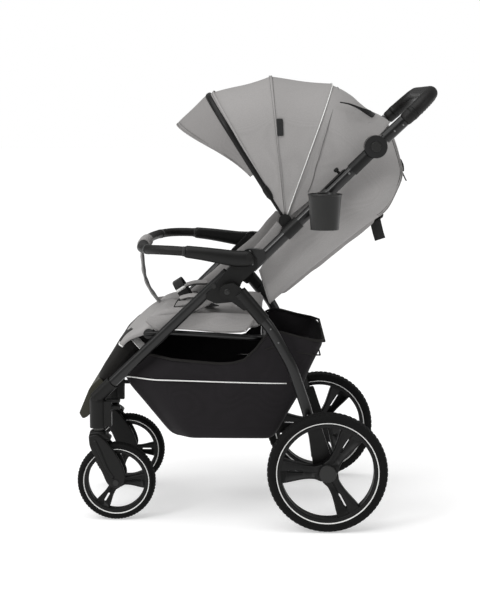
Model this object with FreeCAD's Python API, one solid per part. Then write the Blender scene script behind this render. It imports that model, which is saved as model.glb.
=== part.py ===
"""Four-wheel folding stroller: tube frame, hinge brackets, wheels, seat, canopy, basket.

Millimetres, +Z up, the stroller faces -Y and +X is the child's left. Shapes are drawn about the
middle of the wheel tracks, and recentred at the end so that the origin is the bottom centre of
the whole object's box.
"""

import FreeCAD
import Part

import math
import os

Vec = FreeCAD.Vector

# ---------------------------------------------------------------- driving dimensions
REAR_WHEEL_R = 140.0
REAR_WHEEL_X = 277.5
REAR_WHEEL_Y = 150.0
REAR_TYRE_W = 45.0
FRONT_WHEEL_R = 93.8
FRONT_WHEEL_X = 172.5
FRONT_WHEEL_Y = -347.7
FRONT_TYRE_W = 34.0
SWIVEL_Y = -391.0

FRAME_X = 238.0
TUBE_R = 12.5
TUBE_WALL = 1.6
CHEEK_IN = 219.0
CHEEK_OUT = 257.0
SLOT_HALF = 13.6

FOLD_PIVOT = (-31.5, 640.3)
LEG_PIVOT = (-81.3, 559.5)
CANOPY_PIVOT = (51.0, 717.5)
HANDLE_PIVOT = (255.6, 887.6)
RECLINE_PIVOT = (24.0, 538.0)
LEG_REST_PIVOT = (-268.0, 449.0)
BRAKE_PIVOT = (172.0, 172.0)

FRONT_LEG_LOW = (176.0, -386.0, 301.0)
FRONT_LEG_TOP = (FRAME_X, -82.0, 599.0)
UPPER_TUBE_LOW = (FRAME_X, -24.0, 613.4)
UPPER_TUBE_TOP = (FRAME_X, 231.0, 861.3)

REAR_LEG_X_TOP = 273.0
REAR_LEG_X_LOW = 238.0
BUMPER_X = 271.0
BUMPER_R = 12.5
SEAT_HALF = 190.0
BASKET_HALF = 204.0
SHELL_HALF = 201.0
BOARD_HALF = 170.0
BOARD_DEG = 38.0
LEG_REST_DEG = 48.0
FOLD_STRAP_FOOT = (-187.0, 518.0)
FOLD_STRAP_LEAN = 32.0

CANOPY_R = 340.0
CANOPY_HALF = 215.0
CANOPY_CORNER = 120.0
CANOPY_SKIN = 3.0
FRONT_BOW_DEG = 122.3
REAR_BOW_DEG = 70.3
VISOR_DEG = 17.0
HOOD_END_DEG = 47.0
BOW_W = 14.0
BOW_T = 4.0

RUN_FIT = 0.08
GAP = 0.6


# ---------------------------------------------------------------- geometry helpers
def unit(v):
    """The vector at length one."""
    out = Vec(v)
    out.normalize()
    return out


def polar(pivot, radius, degrees):
    """A (y, z) point at an angle from +Y towards +Z about a pivot."""
    a = math.radians(degrees)
    return (pivot[0] + radius * math.cos(a), pivot[1] + radius * math.sin(a))


def rounded_path(points, radius, closed=False):
    """Edges of a polyline whose corners are tangent arcs. radius is one number or one per corner."""
    pts = [Vec(*p) for p in points]
    count = len(pts)
    corners = range(count) if closed else range(1, count - 1)
    enters, leaves, arcs = dict(enumerate(pts)), dict(enumerate(pts)), {}
    for i in corners:
        r = radius[i] if isinstance(radius, (list, tuple)) else radius
        back = unit(pts[i - 1] - pts[i])
        ahead = unit(pts[(i + 1) % count] - pts[i])
        half = back.getAngle(ahead) / 2
        if r <= 0 or half > math.radians(89.5):
            continue
        reach = r / math.tan(half)
        enters[i] = pts[i] + back * reach
        leaves[i] = pts[i] + ahead * reach
        centre = pts[i] + unit(back + ahead) * (r / math.sin(half))
        arcs[i] = Part.Arc(enters[i], centre + unit(pts[i] - centre) * r, leaves[i]).toShape()
    edges = []
    for i in range(count if closed else count - 1):
        j = (i + 1) % count
        if i in arcs:
            edges.append(arcs[i])
        if (enters[j] - leaves[i]).Length > 1e-6:
            edges.append(Part.makeLine(leaves[i], enters[j]))
    return edges


def sweep(points, radius, bend=30.0):
    """A solid round bar along a polyline with rounded corners."""
    path = Part.Wire(rounded_path(points, bend))
    start = Vec(*points[0])
    ring = Part.Wire(Part.makeCircle(radius, start, unit(Vec(*points[1]) - start)))
    return path.makePipeShell([ring], True, False)


def tube(points, radius=TUBE_R, bend=30.0, wall=TUBE_WALL):
    """A hollow tube along a polyline with rounded corners."""
    return sweep(points, radius, bend).cut(sweep(points, radius - wall, bend))


def rod(p0, p1, radius):
    """A solid cylinder between two points."""
    a, b = Vec(*p0), Vec(*p1)
    return Part.makeCylinder(radius, (b - a).Length, a, unit(b - a))


def x_rod(pivot, x0, x1, radius):
    """A cylinder along X between x0 and x1, centred on a (y, z) point."""
    return rod((x0, pivot[0], pivot[1]), (x1, pivot[0], pivot[1]), radius)


def plate(outline, x0, x1, radius=0.0):
    """A (y, z) outline with rounded corners, extruded from x0 to x1."""
    wire = Part.Wire(rounded_path([(x0, y, z) for y, z in outline], radius, closed=True))
    return Part.Face(wire).extrude(Vec(x1 - x0, 0, 0))


def box(x0, x1, y0, y1, z0, z1):
    """A box between two corners."""
    return Part.makeBox(x1 - x0, y1 - y0, z1 - z0, Vec(x0, y0, z0))


def rolled(points, centre, degrees=360.0, start=0.0):
    """An (x, radius) outline turned about the X line through a (y, z) centre."""
    middle = Vec(0, centre[0], centre[1])
    flat = [Vec(x, centre[0] + r, centre[1]) for x, r in points]
    face = Part.Face(Part.makePolygon(flat + flat[:1]))
    face.rotate(middle, Vec(1, 0, 0), start)
    return face.revolve(middle, Vec(1, 0, 0), degrees)


def rotated(shape, pivot, degrees):
    """A copy turned about the X line through a (y, z) pivot."""
    out = shape.copy()
    out.rotate(Vec(0, pivot[0], pivot[1]), Vec(1, 0, 0), degrees)
    return out


def mirrored(shape):
    """The same shape on the other side of the stroller."""
    return shape.mirror(Vec(0, 0, 0), Vec(1, 0, 0))


def joined(*shapes):
    """One solid from overlapping ones."""
    return shapes[0].fuse(list(shapes[1:])).removeSplitter()


def minus(shape, *tools):
    """A shape with others taken away."""
    return shape.cut(list(tools))


def pair(shape):
    """A shape and its mirror image as one group."""
    return Part.Compound([shape, mirrored(shape)])


def eased(shape, radius):
    """The shape with all its edges rounded, or as it was where that can't be done."""
    try:
        out = shape.makeFillet(radius, shape.Edges)
        return out if out.isValid() and out.Volume > 0 else shape
    except Part.OCCError:
        return shape


# ---------------------------------------------------------------- lower frame
def front_leg():
    """The straight tube from the caster housing up into the hinge bracket."""
    return tube([FRONT_LEG_LOW, FRONT_LEG_TOP])


def bracket():
    """The cast hinge bracket: two cheeks with a slot for the upper tube, and a socket for the leg."""
    outline = [(-136, 542), (-108, 529), (-66, 533), (-48, 579), (-13, 611), (-13, 631),
               (-30, 655), (-50, 640), (-79, 611)]
    body = plate(outline, CHEEK_IN, CHEEK_OUT, [8, 10, 12, 16, 9, 9, 12, 8, 30])
    slot = x_rod(FOLD_PIVOT, FRAME_X - SLOT_HALF, FRAME_X + SLOT_HALF, 46)
    socket = rod(FRONT_LEG_LOW, FRONT_LEG_TOP, TUBE_R)
    hinge = x_rod(FOLD_PIVOT, CHEEK_IN - 2, CHEEK_OUT + 2, 5.0 + RUN_FIT)
    leg_hinge = x_rod(LEG_PIVOT, CHEEK_IN - 2, CHEEK_OUT + 2, 5.0 + RUN_FIT)
    return minus(body, slot, socket, hinge, leg_hinge)


def caster_housing():
    """The plastic housing at the foot of the leg, with the swivel bore and the tube socket."""
    barrel = Part.makeCylinder(19.5, 62, Vec(FRONT_WHEEL_X, SWIVEL_Y, 222))
    dome = Part.makeSphere(19.5, Vec(FRONT_WHEEL_X, SWIVEL_Y, 284))
    low, high = Vec(*FRONT_LEG_LOW), Vec(*FRONT_LEG_TOP)
    along = unit(high - low)
    sleeve = Part.makeCylinder(16.0, 58, low - along * 14, along)
    rear = box(FRONT_WHEEL_X - 12, FRONT_WHEEL_X + 12, SWIVEL_Y + 8, SWIVEL_Y + 33, 226, 286)
    lug = box(FRONT_WHEEL_X - 8, FRONT_WHEEL_X + 8, SWIVEL_Y + 20, SWIVEL_Y + 53, 283, 290)
    body = joined(barrel, dome, sleeve, rear, lug)
    stem_bore = Part.makeCylinder(7.0 + RUN_FIT, 50, Vec(FRONT_WHEEL_X, SWIVEL_Y, 221))
    tube_bore = Part.makeCylinder(TUBE_R, 80, low, along)
    lever_slot = box(FRONT_WHEEL_X - 9, FRONT_WHEEL_X + 9, SWIVEL_Y + 20, SWIVEL_Y + 40, 259, 281)
    return minus(body, stem_bore, tube_bore, lever_slot)


def swivel_lock():
    """The small lever behind the housing that locks the caster straight."""
    pad = box(FRONT_WHEEL_X - 8, FRONT_WHEEL_X + 8, SWIVEL_Y + 22, SWIVEL_Y + 54, 266, 274)
    return eased(pad, 2.0)


def seat_frame():
    """The bent seat tube with two cross runs, lugs to the front legs and pins for the leg rest."""
    side, radius = 188.0, 6.5
    y0, z0 = LEG_REST_PIVOT
    back = (2.0, 439.0)
    rail = sweep([(side, y0 - 8, z0 - 1), (side, y0 + 46, z0 + 3), (side, back[0], back[1]),
                  (-side, back[0], back[1]), (-side, y0 + 46, z0 + 3), (-side, y0 - 8, z0 - 1)],
                 radius, [0, 40, 30, 30, 40, 0])
    cross = x_rod((y0 + 32, z0 + 1.5), -side, side, radius)
    pieces = [rail, cross]
    for sign in (1, -1):
        pieces.append(x_rod(LEG_REST_PIVOT, sign * 161, sign * (side + 3), 4.0))
        pieces.append(x_rod(LEG_REST_PIVOT, sign * 174, sign * (side + 5), 12.0))
        pieces.append(x_rod((-235.0, 451.0), sign * (side - 2), sign * 206, 6.0))
    legs = rod(FRONT_LEG_LOW, FRONT_LEG_TOP, TUBE_R)
    return minus(joined(*pieces), legs, mirrored(legs))


def footrest():
    """The curved plastic plate that joins the front legs above the casters, dished at the back."""
    outline = [(-388, 336), (-413, 312), (-438, 252), (-430, 238), (-414, 244), (-398, 286), (-374, 322)]
    front = plate(outline, -150, 150, [4, 26, 7, 5, 24, 30, 4])
    dish = plate([(-386, 327), (-408, 306), (-430, 252), (-400, 236), (-356, 316)], -140, 140,
                 [3, 22, 4, 0, 0])
    legs = rod(FRONT_LEG_LOW, FRONT_LEG_TOP, TUBE_R + GAP)
    return minus(front, dish, legs, mirrored(legs))


def frame_fasteners():
    """Pivot bolts at the brackets, and the rivets that hold the leg tubes."""
    parts = []
    low, high = Vec(*FRONT_LEG_LOW), Vec(*FRONT_LEG_TOP)
    rivet_at = low + (high - low) * 0.9
    parts.append(joined(x_rod(FOLD_PIVOT, CHEEK_IN - 3, CHEEK_OUT, 5.0),
                        x_rod(FOLD_PIVOT, CHEEK_IN - 5, CHEEK_IN - 0.05, 8)))
    parts.append(joined(x_rod(LEG_PIVOT, CHEEK_IN - 3, 283, 5.0),
                        x_rod(LEG_PIVOT, CHEEK_IN - 5, CHEEK_IN - 0.05, 8)))
    parts.append(x_rod((rivet_at.y, rivet_at.z), CHEEK_OUT + 0.02, CHEEK_OUT + 2.4, 5.5))
    group = Part.Compound(parts)
    return Part.Compound([group, mirrored(group)])


# ---------------------------------------------------------------- rear frame
def rear_leg_route():
    """Centre line of the left rear leg from the knuckle down to the wheel mount."""
    return [(REAR_LEG_X_TOP, -30.0, 531.0), (266.0, 18.0, 473.0), (254.0, 66.0, 385.0),
            (241.0, 99.0, 288.0), (REAR_LEG_X_LOW, 121.0, 212.0)]


def rear_leg():
    """The bent tube of the rear leg."""
    return tube(rear_leg_route(), TUBE_R, 190.0)


def leg_knuckle():
    """The plastic end of the rear leg that turns on the bracket's lower pivot."""
    eye = x_rod(LEG_PIVOT, CHEEK_OUT + GAP, 284, 17)
    top = Vec(*rear_leg_route()[0])
    along = unit(Vec(*rear_leg_route()[1]) - top)
    sleeve = Part.makeCylinder(15.5, 86, top - along * 36, along)
    neck = plate([(-92, 575), (-66, 580), (-22, 541), (-40, 514), (-80, 543)], CHEEK_OUT + GAP, 284, 6)
    bore = Part.makeCylinder(TUBE_R, 90, top, along)
    pin = x_rod(LEG_PIVOT, CHEEK_OUT - 2, 283 + 0.02, 5.0 + RUN_FIT)
    cheek_room = x_rod(LEG_PIVOT, CHEEK_IN, CHEEK_OUT + GAP, 90)
    return minus(joined(eye, sleeve, neck), bore, pin, cheek_room)


def wheel_mount():
    """The plastic foot on the leg that carries the rear axle."""
    centre = (REAR_WHEEL_Y, REAR_WHEEL_R)
    foot = plate([(104, 240), (134, 247), (166, 150), (158, 124), (138, 122), (118, 146)],
                 226.0, 252.0, [6, 6, 12, 14, 14, 12])
    boss = x_rod(centre, 222, 254, 19)
    leg = sweep(rear_leg_route()[2:], TUBE_R, 190.0)
    axle = x_rod(centre, 215, 256, 6.0)
    cross = x_rod((124.0, 172.0), 200, 240, 11.0)
    return minus(joined(foot, boss), leg, axle, cross)


def rear_axle():
    """The cross tube between the wheel mounts, with the two wheel axles on its ends."""
    cross = minus(x_rod((124.0, 172.0), -240, 240, 11.0), x_rod((124.0, 172.0), -241, 241, 9.2))
    axles = [x_rod((REAR_WHEEL_Y, REAR_WHEEL_R), sign * 216, sign * 296, 6.0) for sign in (1, -1)]
    return Part.Compound([cross] + axles)


def brake_pedal():
    """The foot bar that locks both rear wheels, on a sleeve round its own pivot rod."""
    sleeve = x_rod(BRAKE_PIVOT, -196, 196, 8)
    pad = plate([(170, 182), (206, 192), (212, 184), (204, 178), (172, 163)], -62, 62, [4, 4, 4, 3, 4])
    ears = [x_rod(BRAKE_PIVOT, sign * 196, sign * 221, 5) for sign in (1, -1)]
    return joined(sleeve, pad, *ears)


# ---------------------------------------------------------------- upper frame
def upper_tube():
    """The straight tube from the bracket up to the handle joint."""
    return tube([UPPER_TUBE_LOW, UPPER_TUBE_TOP])


def hinge_plug():
    """The plug in the tube's lower end with the eye that turns on the upper pivot."""
    half = SLOT_HALF - GAP
    eye = x_rod(FOLD_PIVOT, FRAME_X - half, FRAME_X + half, 15)
    low, high = Vec(*UPPER_TUBE_LOW), Vec(*UPPER_TUBE_TOP)
    along = unit(high - low)
    collar = Part.makeCylinder(half, 34, low - along * 4, along)
    web = plate([(-44, 633), (-30, 656), (4, 652), (8, 634), (-22, 603), (-33, 612)],
                FRAME_X - half, FRAME_X + half, 5)
    tube_hole = Part.makeCylinder(TUBE_R, 60, low, along)
    pin = x_rod(FOLD_PIVOT, FRAME_X - 20, FRAME_X + 20, 5.0 + RUN_FIT)
    return minus(joined(eye, collar, web), tube_hole, pin)


def upper_tube_with_plug():
    """The upper tube and its plug as one piece of the assembly."""
    return Part.Compound([upper_tube(), hinge_plug()])


def handle_socket():
    """The round inner half of the handle joint, on the end of the upper tube."""
    low, high = Vec(*UPPER_TUBE_LOW), Vec(*UPPER_TUBE_TOP)
    along = unit(high - low)
    disc = x_rod(HANDLE_PIVOT, FRAME_X - 13, FRAME_X + 1, 26)
    sleeve = Part.makeCylinder(14.6, 66, high - along * 40, along)
    tube_hole = Part.makeCylinder(TUBE_R, 80, high - along * 80, along)
    pin = x_rod(HANDLE_PIVOT, FRAME_X - 20, FRAME_X + 20, 8.0 + RUN_FIT)
    outer_half_room = x_rod(HANDLE_PIVOT, FRAME_X + 1, FRAME_X + 30, 27)
    return minus(joined(disc, sleeve), tube_hole, pin, outer_half_room)


def cup_holder():
    """A tapered cup on a clip outside the left upper tube."""
    centre = Vec(FRAME_X + TUBE_R + 12 + 37.5, 139.0, 703.0)
    outer = Part.makeCone(32.0, 37.5, 81.0, centre, Vec(0, 0, 1))
    rim = Part.makeTorus(36.5, 2.4, centre + Vec(0, 0, 79.0), Vec(0, 0, 1))
    inside = Part.makeCylinder(29.0, 90.0, centre + Vec(0, 0, 3.0))
    mouth = Part.makeCone(29.0, 35.0, 30.0, centre + Vec(0, 0, 56.0), Vec(0, 0, 1))
    low, high = Vec(*UPPER_TUBE_LOW), Vec(*UPPER_TUBE_TOP)
    along = unit(high - low)
    middle = low + along * 226.0
    clip = Part.makeCylinder(16.0, 34.0, middle - along * 17, along)
    arm = box(FRAME_X + 10, centre.x - 30, middle.y - 14, middle.y + 14, middle.z - 14, middle.z + 14)
    body = joined(outer, rim, clip, arm)
    tube_hole = Part.makeCylinder(TUBE_R, 80.0, middle - along * 40, along)
    return minus(body, inside, mouth, tube_hole)


def canopy_clip():
    """The clip on the upper tube that carries the canopy's pivot, with a short stop arm."""
    low, high = Vec(*UPPER_TUBE_LOW), Vec(*UPPER_TUBE_TOP)
    along = unit(high - low)
    middle = low + along * ((Vec(0, *CANOPY_PIVOT) - Vec(0, low.y, low.z)).dot(along))
    clip = Part.makeCylinder(15.5, 44.0, middle - along * 22, along)
    tube_hole = Part.makeCylinder(TUBE_R, 80.0, middle - along * 40, along)
    disc = x_rod(CANOPY_PIVOT, 221, 226, 15)
    pin = x_rod(CANOPY_PIVOT, SHELL_HALF + 1, 222, 4.0)
    return minus(joined(clip, disc, pin), tube_hole)


# ---------------------------------------------------------------- handle
def handle_route():
    """Centre line of the bent handle tube from the left joint to the right one."""
    y0, z0 = HANDLE_PIVOT
    slope = math.radians(43.0)
    half = 250.5
    near = (half, y0 + 20 * math.cos(slope), z0 + 20 * math.sin(slope))
    far = (half - 5, y0 + 178 * math.cos(slope), z0 + 178 * math.sin(slope))
    return [near, far, (-far[0], far[1], far[2]), (-near[0], near[1], near[2])]


def handle_bar():
    """The bent handle tube with a cuff on each arm and the outer halves of its two joints."""
    low, high = Vec(*handle_route()[0]), Vec(*handle_route()[1])
    ahead = unit(high - low)
    cuff = minus(Part.makeCylinder(14.0, 58.0, low + ahead * 8, ahead), rod(low, high, 10.0))
    bar = joined(tube(handle_route(), 10.5, 78.0), cuff, mirrored(cuff))
    half = minus(x_rod(HANDLE_PIVOT, FRAME_X + 1 + GAP, FRAME_X + 23, 26),
                 x_rod(HANDLE_PIVOT, FRAME_X + 11, FRAME_X + 24, 12.0),
                 rod(handle_route()[0], handle_route()[1], 10.5))
    hub = x_rod(HANDLE_PIVOT, FRAME_X - 11, FRAME_X + 2, 8.0)
    return Part.Compound([bar, joined(half, hub), mirrored(joined(half, hub))])


def handle_grip():
    """The stitched cover round the handle's cross run and corners."""
    route = handle_route()
    start = Vec(*route[0]) + (Vec(*route[1]) - Vec(*route[0])) * 0.42
    points = [tuple(start), route[1], route[2], (-start.x, start.y, start.z)]
    return sweep(points, 16.0, 78.0).cut(sweep(points, 10.5, 78.0))


def adjust_button():
    """The round push button in the middle of a handle joint."""
    return eased(x_rod(HANDLE_PIVOT, FRAME_X + 14.2, FRAME_X + 27, 11.7), 1.5)


# ---------------------------------------------------------------- bumper
def bumper_route():
    """Centre line of the bumper bar from the left socket round to the right one."""
    y0, z0 = FOLD_PIVOT
    root = (BUMPER_X, y0 - 26, z0 - 8)
    mid = (BUMPER_X - 1, y0 - 105, z0 + 3)
    corner = (BUMPER_X - 12, -286, 648)
    return [root, mid, corner, (-corner[0], corner[1], corner[2]), (-mid[0], mid[1], mid[2]),
            (-root[0], root[1], root[2])]


def bumper_bends():
    """Corner radii along the bumper's route."""
    return [0, 160.0, 128.0, 128.0, 160.0, 0]


def bumper_bar():
    """The padded bumper bar: covered bar with a moulded socket at each end."""
    bar = sweep(bumper_route(), BUMPER_R, bumper_bends())
    eye = x_rod(FOLD_PIVOT, CHEEK_OUT + GAP + 1, BUMPER_X + 12, 16)
    root = Vec(*bumper_route()[0])
    ahead = unit(Vec(*bumper_route()[1]) - root)
    cuff = Part.makeCylinder(14.0, 52.0, root - ahead * 20, ahead)
    button_hole = x_rod(FOLD_PIVOT, BUMPER_X + 1, BUMPER_X + 13, 8.0)
    inner = box(CHEEK_OUT - 20, CHEEK_OUT + GAP + 1, -300, 60, 560, 700)
    socket = minus(joined(eye, cuff), button_hole, inner)
    return joined(bar, socket, mirrored(socket))


def bumper_sleeve():
    """The fabric sleeve round the middle of the bumper."""
    y, z = bumper_route()[2][1:]
    return minus(x_rod((y, z), -60, 60, BUMPER_R + 4), x_rod((y, z), -61, 61, BUMPER_R + 0.05))


def bumper_button():
    """The push button that lets the bumper off its bracket."""
    return x_rod(FOLD_PIVOT, BUMPER_X + 3.2, BUMPER_X + 14, 7.7)


# ---------------------------------------------------------------- canopy
def arch(offset, start):
    """The canopy's arch as (x, radius) points, moved out by an offset: two straight sides, round top."""
    half, top, corner = CANOPY_HALF + offset, CANOPY_R + offset, CANOPY_CORNER + offset
    side = [(half, start)]
    for k in range(9):
        a = math.radians(90.0 * k / 8)
        side.append((half - corner + corner * math.cos(a), top - corner + corner * math.sin(a)))
    return side + [(-x, r) for x, r in reversed(side)]


def hood_part(outer, inner, low_deg, high_deg, start=26.0):
    """A stretch of the canopy between two angles about its pivot."""
    outline = arch(outer, start) + arch(inner, start)[::-1]
    return rolled(outline, CANOPY_PIVOT, high_deg - low_deg, low_deg)


def canopy_bow(degrees, outer):
    """A flat plastic bow with an eye at each pivot. outer is its offset from the canopy's surface."""
    half_angle = math.degrees(BOW_W / 2 / CANOPY_R)
    inner = outer - BOW_T
    over = hood_part(outer, inner, degrees - half_angle, degrees + half_angle, 200.0)
    strip = box(CANOPY_HALF + inner, CANOPY_HALF + outer, CANOPY_PIVOT[0] + 4, CANOPY_PIVOT[0] + 216,
                CANOPY_PIVOT[1] - 4, CANOPY_PIVOT[1] + 4)
    eye = x_rod(CANOPY_PIVOT, CANOPY_HALF + inner, CANOPY_HALF + outer, 9)
    side = minus(joined(rotated(strip, CANOPY_PIVOT, degrees), eye),
                 x_rod(CANOPY_PIVOT, 200, 220, 4.0 + RUN_FIT))
    return joined(over, side, mirrored(side))


def canopy_front_bow():
    """The bow at the canopy's front edge, inside the fabric."""
    return canopy_bow(FRONT_BOW_DEG, -CANOPY_SKIN - 0.4)


def canopy_rear_bow():
    """The bow where the canopy's side panels meet its rear panel."""
    return canopy_bow(REAR_BOW_DEG, -2 * CANOPY_SKIN - 1.8)


def canopy_front_shell():
    """The main fabric of the canopy, between the two bows."""
    return hood_part(0, -CANOPY_SKIN, REAR_BOW_DEG + 2.6, FRONT_BOW_DEG, 100.0)


def canopy_rear_shell():
    """The rear fabric of the canopy, down towards the head end of the seat."""
    return hood_part(-4, -4 - CANOPY_SKIN, HOOD_END_DEG, REAR_BOW_DEG - 2.6, 130.0)


def canopy_visor():
    """The sun visor ahead of the front bow, full over the middle and fading out down the sides."""
    band = hood_part(0, -CANOPY_SKIN, FRONT_BOW_DEG + 0.3, FRONT_BOW_DEG + VISOR_DEG, 120.0)
    near = polar(CANOPY_PIVOT, 118.0, FRONT_BOW_DEG)
    tip = polar(CANOPY_PIVOT, 335.0, FRONT_BOW_DEG + VISOR_DEG + 2)
    bow_top = polar(CANOPY_PIVOT, 420.0, FRONT_BOW_DEG - 3)
    beyond = polar(CANOPY_PIVOT, 420.0, FRONT_BOW_DEG + VISOR_DEG + 2)
    keep = plate([near, tip, beyond, bow_top], -300, 300)
    return band.common(keep)


# ---------------------------------------------------------------- seat
def seat_cushion():
    """The padded seat with its rounded front edge."""
    outline = [(-236, 514), (-268, 503), (-286, 484), (-260, 470), (-40, 458), (4, 463), (12, 497),
               (0, 507), (-120, 504)]
    return plate(outline, -SEAT_HALF, SEAT_HALF, [16, 14, 12, 8, 14, 10, 8, 8, 60])


def back_board():
    """The padded board of the backrest, hinged at its foot."""
    y0, z0 = RECLINE_PIVOT
    slab = eased(box(-BOARD_HALF, BOARD_HALF, y0 + 2, y0 + 310, z0 - 6, z0 + 12), 5.0)
    hinge = x_rod(RECLINE_PIVOT, -BOARD_HALF, BOARD_HALF, 8)
    return rotated(joined(slab, hinge), RECLINE_PIVOT, BOARD_DEG)


def back_shell():
    """The fabric tub behind and beside the backrest, open at the front and top."""
    outline = [(-6, 606), (10, 524), (28, 520), (288, 719), (326, 800), (320, 850), (290, 940),
               (266, 944), (60, 716)]
    wall = 4.0
    dome = -2 * CANOPY_SKIN - BOW_T - 3.0
    outer = plate(outline, -SHELL_HALF, SHELL_HALF, [4, 8, 10, 50, 40, 60, 8, 10, 60])
    outer = outer.common(rolled(arch(dome, 0.0), CANOPY_PIVOT))
    inner = [(-1, 612), (13.5, 528), (27, 525), (284.5, 722), (321.5, 801), (315.5, 850), (285, 937),
             (258, 1010), (-20, 690)]
    hollow = plate(inner, wall - SHELL_HALF, SHELL_HALF - wall, [2, 6, 8, 46, 36, 56, 4, 0, 0])
    return minus(outer, hollow.common(rolled(arch(dome - wall, 0.0), CANOPY_PIVOT)))


def leg_rest():
    """The padded leg-rest board, hinged on two pins in front of the seat."""
    y0, z0 = LEG_REST_PIVOT
    board = eased(box(-156, 156, y0 - 150, y0 - 10, z0 - 22, z0 + 4), 8.0)
    pieces = [board, x_rod(LEG_REST_PIVOT, -172, 172, 9)]
    for sign in (1, -1):
        pieces.append(x_rod(LEG_REST_PIVOT, sign * 158, sign * 172, 15))
        pieces.append(box(sign * 130 - 14, sign * 130 + 14, y0 - 20, y0, z0 - 8, z0 + 4))
    body = joined(*pieces)
    bores = [x_rod(LEG_REST_PIVOT, sign * 160, sign * 175, 4.0 + RUN_FIT) for sign in (1, -1)]
    return rotated(minus(body, *bores), LEG_REST_PIVOT, LEG_REST_DEG)


def harness():
    """The crotch strap up to the bumper and the two lap straps across the seat."""
    y, z = bumper_route()[2][1:]
    crotch = plate([(y - 9, z - 20), (y - 13, z - 80), (-260, 526), (-236, 523), (-236, 528),
                    (-256, 532), (y - 8, z - 80), (y - 4, z - 20)], -19, 19, 1.5)
    lap = [box(min(s * 35, s * 150), max(s * 35, s * 150), -150, -112, 508.5, 514) for s in (1, -1)]
    return Part.Compound([crotch] + lap)


def harness_buckle():
    """The buckle in the middle of the lap straps."""
    return eased(box(-34, 34, -160, -104, 508.5, 527), 5.0)


def fold_strap():
    """The pull handle in the middle of the seat that folds the stroller: a strap arched across."""
    outline = [(-40, 0), (-40, 30), (-25, 46), (25, 46), (40, 30), (40, 0), (37, 0), (37, 29), (24, 43),
               (-24, 43), (-37, 29), (-37, 0)]
    wire = Part.Wire(rounded_path([(x, -12, z) for x, z in outline],
                                  [0, 14, 12, 12, 14, 0, 0, 12, 10, 10, 12, 0], closed=True))
    arch_strap = Part.Face(wire).extrude(Vec(0, 24, 0))
    arch_strap.rotate(Vec(0, 0, 0), Vec(1, 0, 0), FOLD_STRAP_LEAN)
    arch_strap.translate(Vec(0, *FOLD_STRAP_FOOT))
    return arch_strap


# ---------------------------------------------------------------- basket
def basket():
    """The open basket: sloping front, deep floor, low sides and a high rear pocket."""
    outline = [(-276, 390), (-316, 346), (-196, 203), (-176, 194), (32, 202), (127, 314), (152, 372),
               (146, 444), (46, 468), (-8, 412), (-30, 388), (-60, 381), (-200, 390), (-250, 399)]
    radii = [10, 16, 26, 26, 34, 60, 40, 6, 14, 16, 18, 30, 60, 14]
    outer = plate(outline, -BASKET_HALF, BASKET_HALF, radii)
    inner = [(-290, 500), (-306, 346), (-191, 211), (-174, 198.5), (30, 206.5), (122, 316), (147, 373),
             (141, 500)]
    hollow = plate(inner, 4 - BASKET_HALF, BASKET_HALF - 4, [6, 14, 24, 24, 32, 58, 38, 6])
    return minus(outer, hollow)


# ---------------------------------------------------------------- wheels
def wheel_tyre(x, y, radius, width, ring):
    """A solid foam tyre with a rounded tread, seated on the rim."""
    h = width / 2
    outline = [(-h + 6, ring), (-h + 2, ring + 1), (-h, ring + 4), (-h, radius - 10), (-h + 4, radius - 4),
               (-h * 0.45, radius - 0.8), (0, radius), (h * 0.45, radius - 0.8), (h - 4, radius - 4),
               (h, radius - 10), (h, ring + 4), (h - 2, ring + 1), (h - 6, ring)]
    body = rolled(outline, (y, radius))
    body.translate(Vec(x, 0, 0))
    return body


def wheel_rim(x, y, radius, width, ring, window, hub_r, bore_r, first_spoke):
    """A moulded rim with three flared spokes, each with a narrow slit."""
    h = width / 2
    band = rolled([(-h + 7, ring), (-h + 5, ring - 2), (-h + 5, window), (h - 5, window),
                   (h - 5, ring - 2), (h - 7, ring)], (y, radius))
    hub = x_rod((y, radius), -h + 2, h - 1, hub_r)
    spokes = []
    slits = []
    for k in range(3):
        angle = first_spoke + 120.0 * k
        wide, slim = window * 0.27, hub_r * 0.72
        spoke = plate([(y + hub_r * 0.5, radius - slim), (y + hub_r * 1.6, radius - slim),
                       (y + window + 2, radius - wide), (y + window + 2, radius + wide),
                       (y + hub_r * 1.6, radius + slim), (y + hub_r * 0.5, radius + slim)],
                      -h + 9, h - 7, [0, 30, 0, 0, 30, 0])
        slit = box(-h, h, y + window * 0.45, y + window * 0.78, radius - 1.4, radius + 1.4)
        spokes.append(rotated(spoke, (y, radius), angle))
        slits.append(rotated(slit, (y, radius), angle))
    trim = x_rod((y, radius), -h, h, window + 1)
    web = joined(*spokes).common(trim)
    body = minus(joined(band, hub, web), x_rod((y, radius), -h - 1, h + 1, bore_r), *slits)
    body.translate(Vec(x, 0, 0))
    return body


def rear_tyre():
    """The left rear tyre."""
    return wheel_tyre(REAR_WHEEL_X, REAR_WHEEL_Y, REAR_WHEEL_R, REAR_TYRE_W, 118.0)


def rear_rim():
    """The left rear rim."""
    return wheel_rim(REAR_WHEEL_X, REAR_WHEEL_Y, REAR_WHEEL_R, REAR_TYRE_W, 118.0, 108.0, 21.0,
                     6.0 + RUN_FIT, 178.0)


def front_tyre():
    """The left front tyre."""
    return wheel_tyre(FRONT_WHEEL_X, FRONT_WHEEL_Y, FRONT_WHEEL_R, FRONT_TYRE_W, 78.0)


def front_rim():
    """The left front rim."""
    return wheel_rim(FRONT_WHEEL_X, FRONT_WHEEL_Y, FRONT_WHEEL_R, FRONT_TYRE_W, 78.0, 68.0, 14.0,
                     4.0 + RUN_FIT, 0.0)


def hub_cap():
    """The round cap over the end of the rear axle."""
    centre = (REAR_WHEEL_Y, REAR_WHEEL_R)
    dome = eased(x_rod(centre, REAR_WHEEL_X + REAR_TYRE_W / 2 - 0.9, 303, 20), 1.5)
    return minus(dome, x_rod(centre, 280, 297, 6.5))


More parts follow.
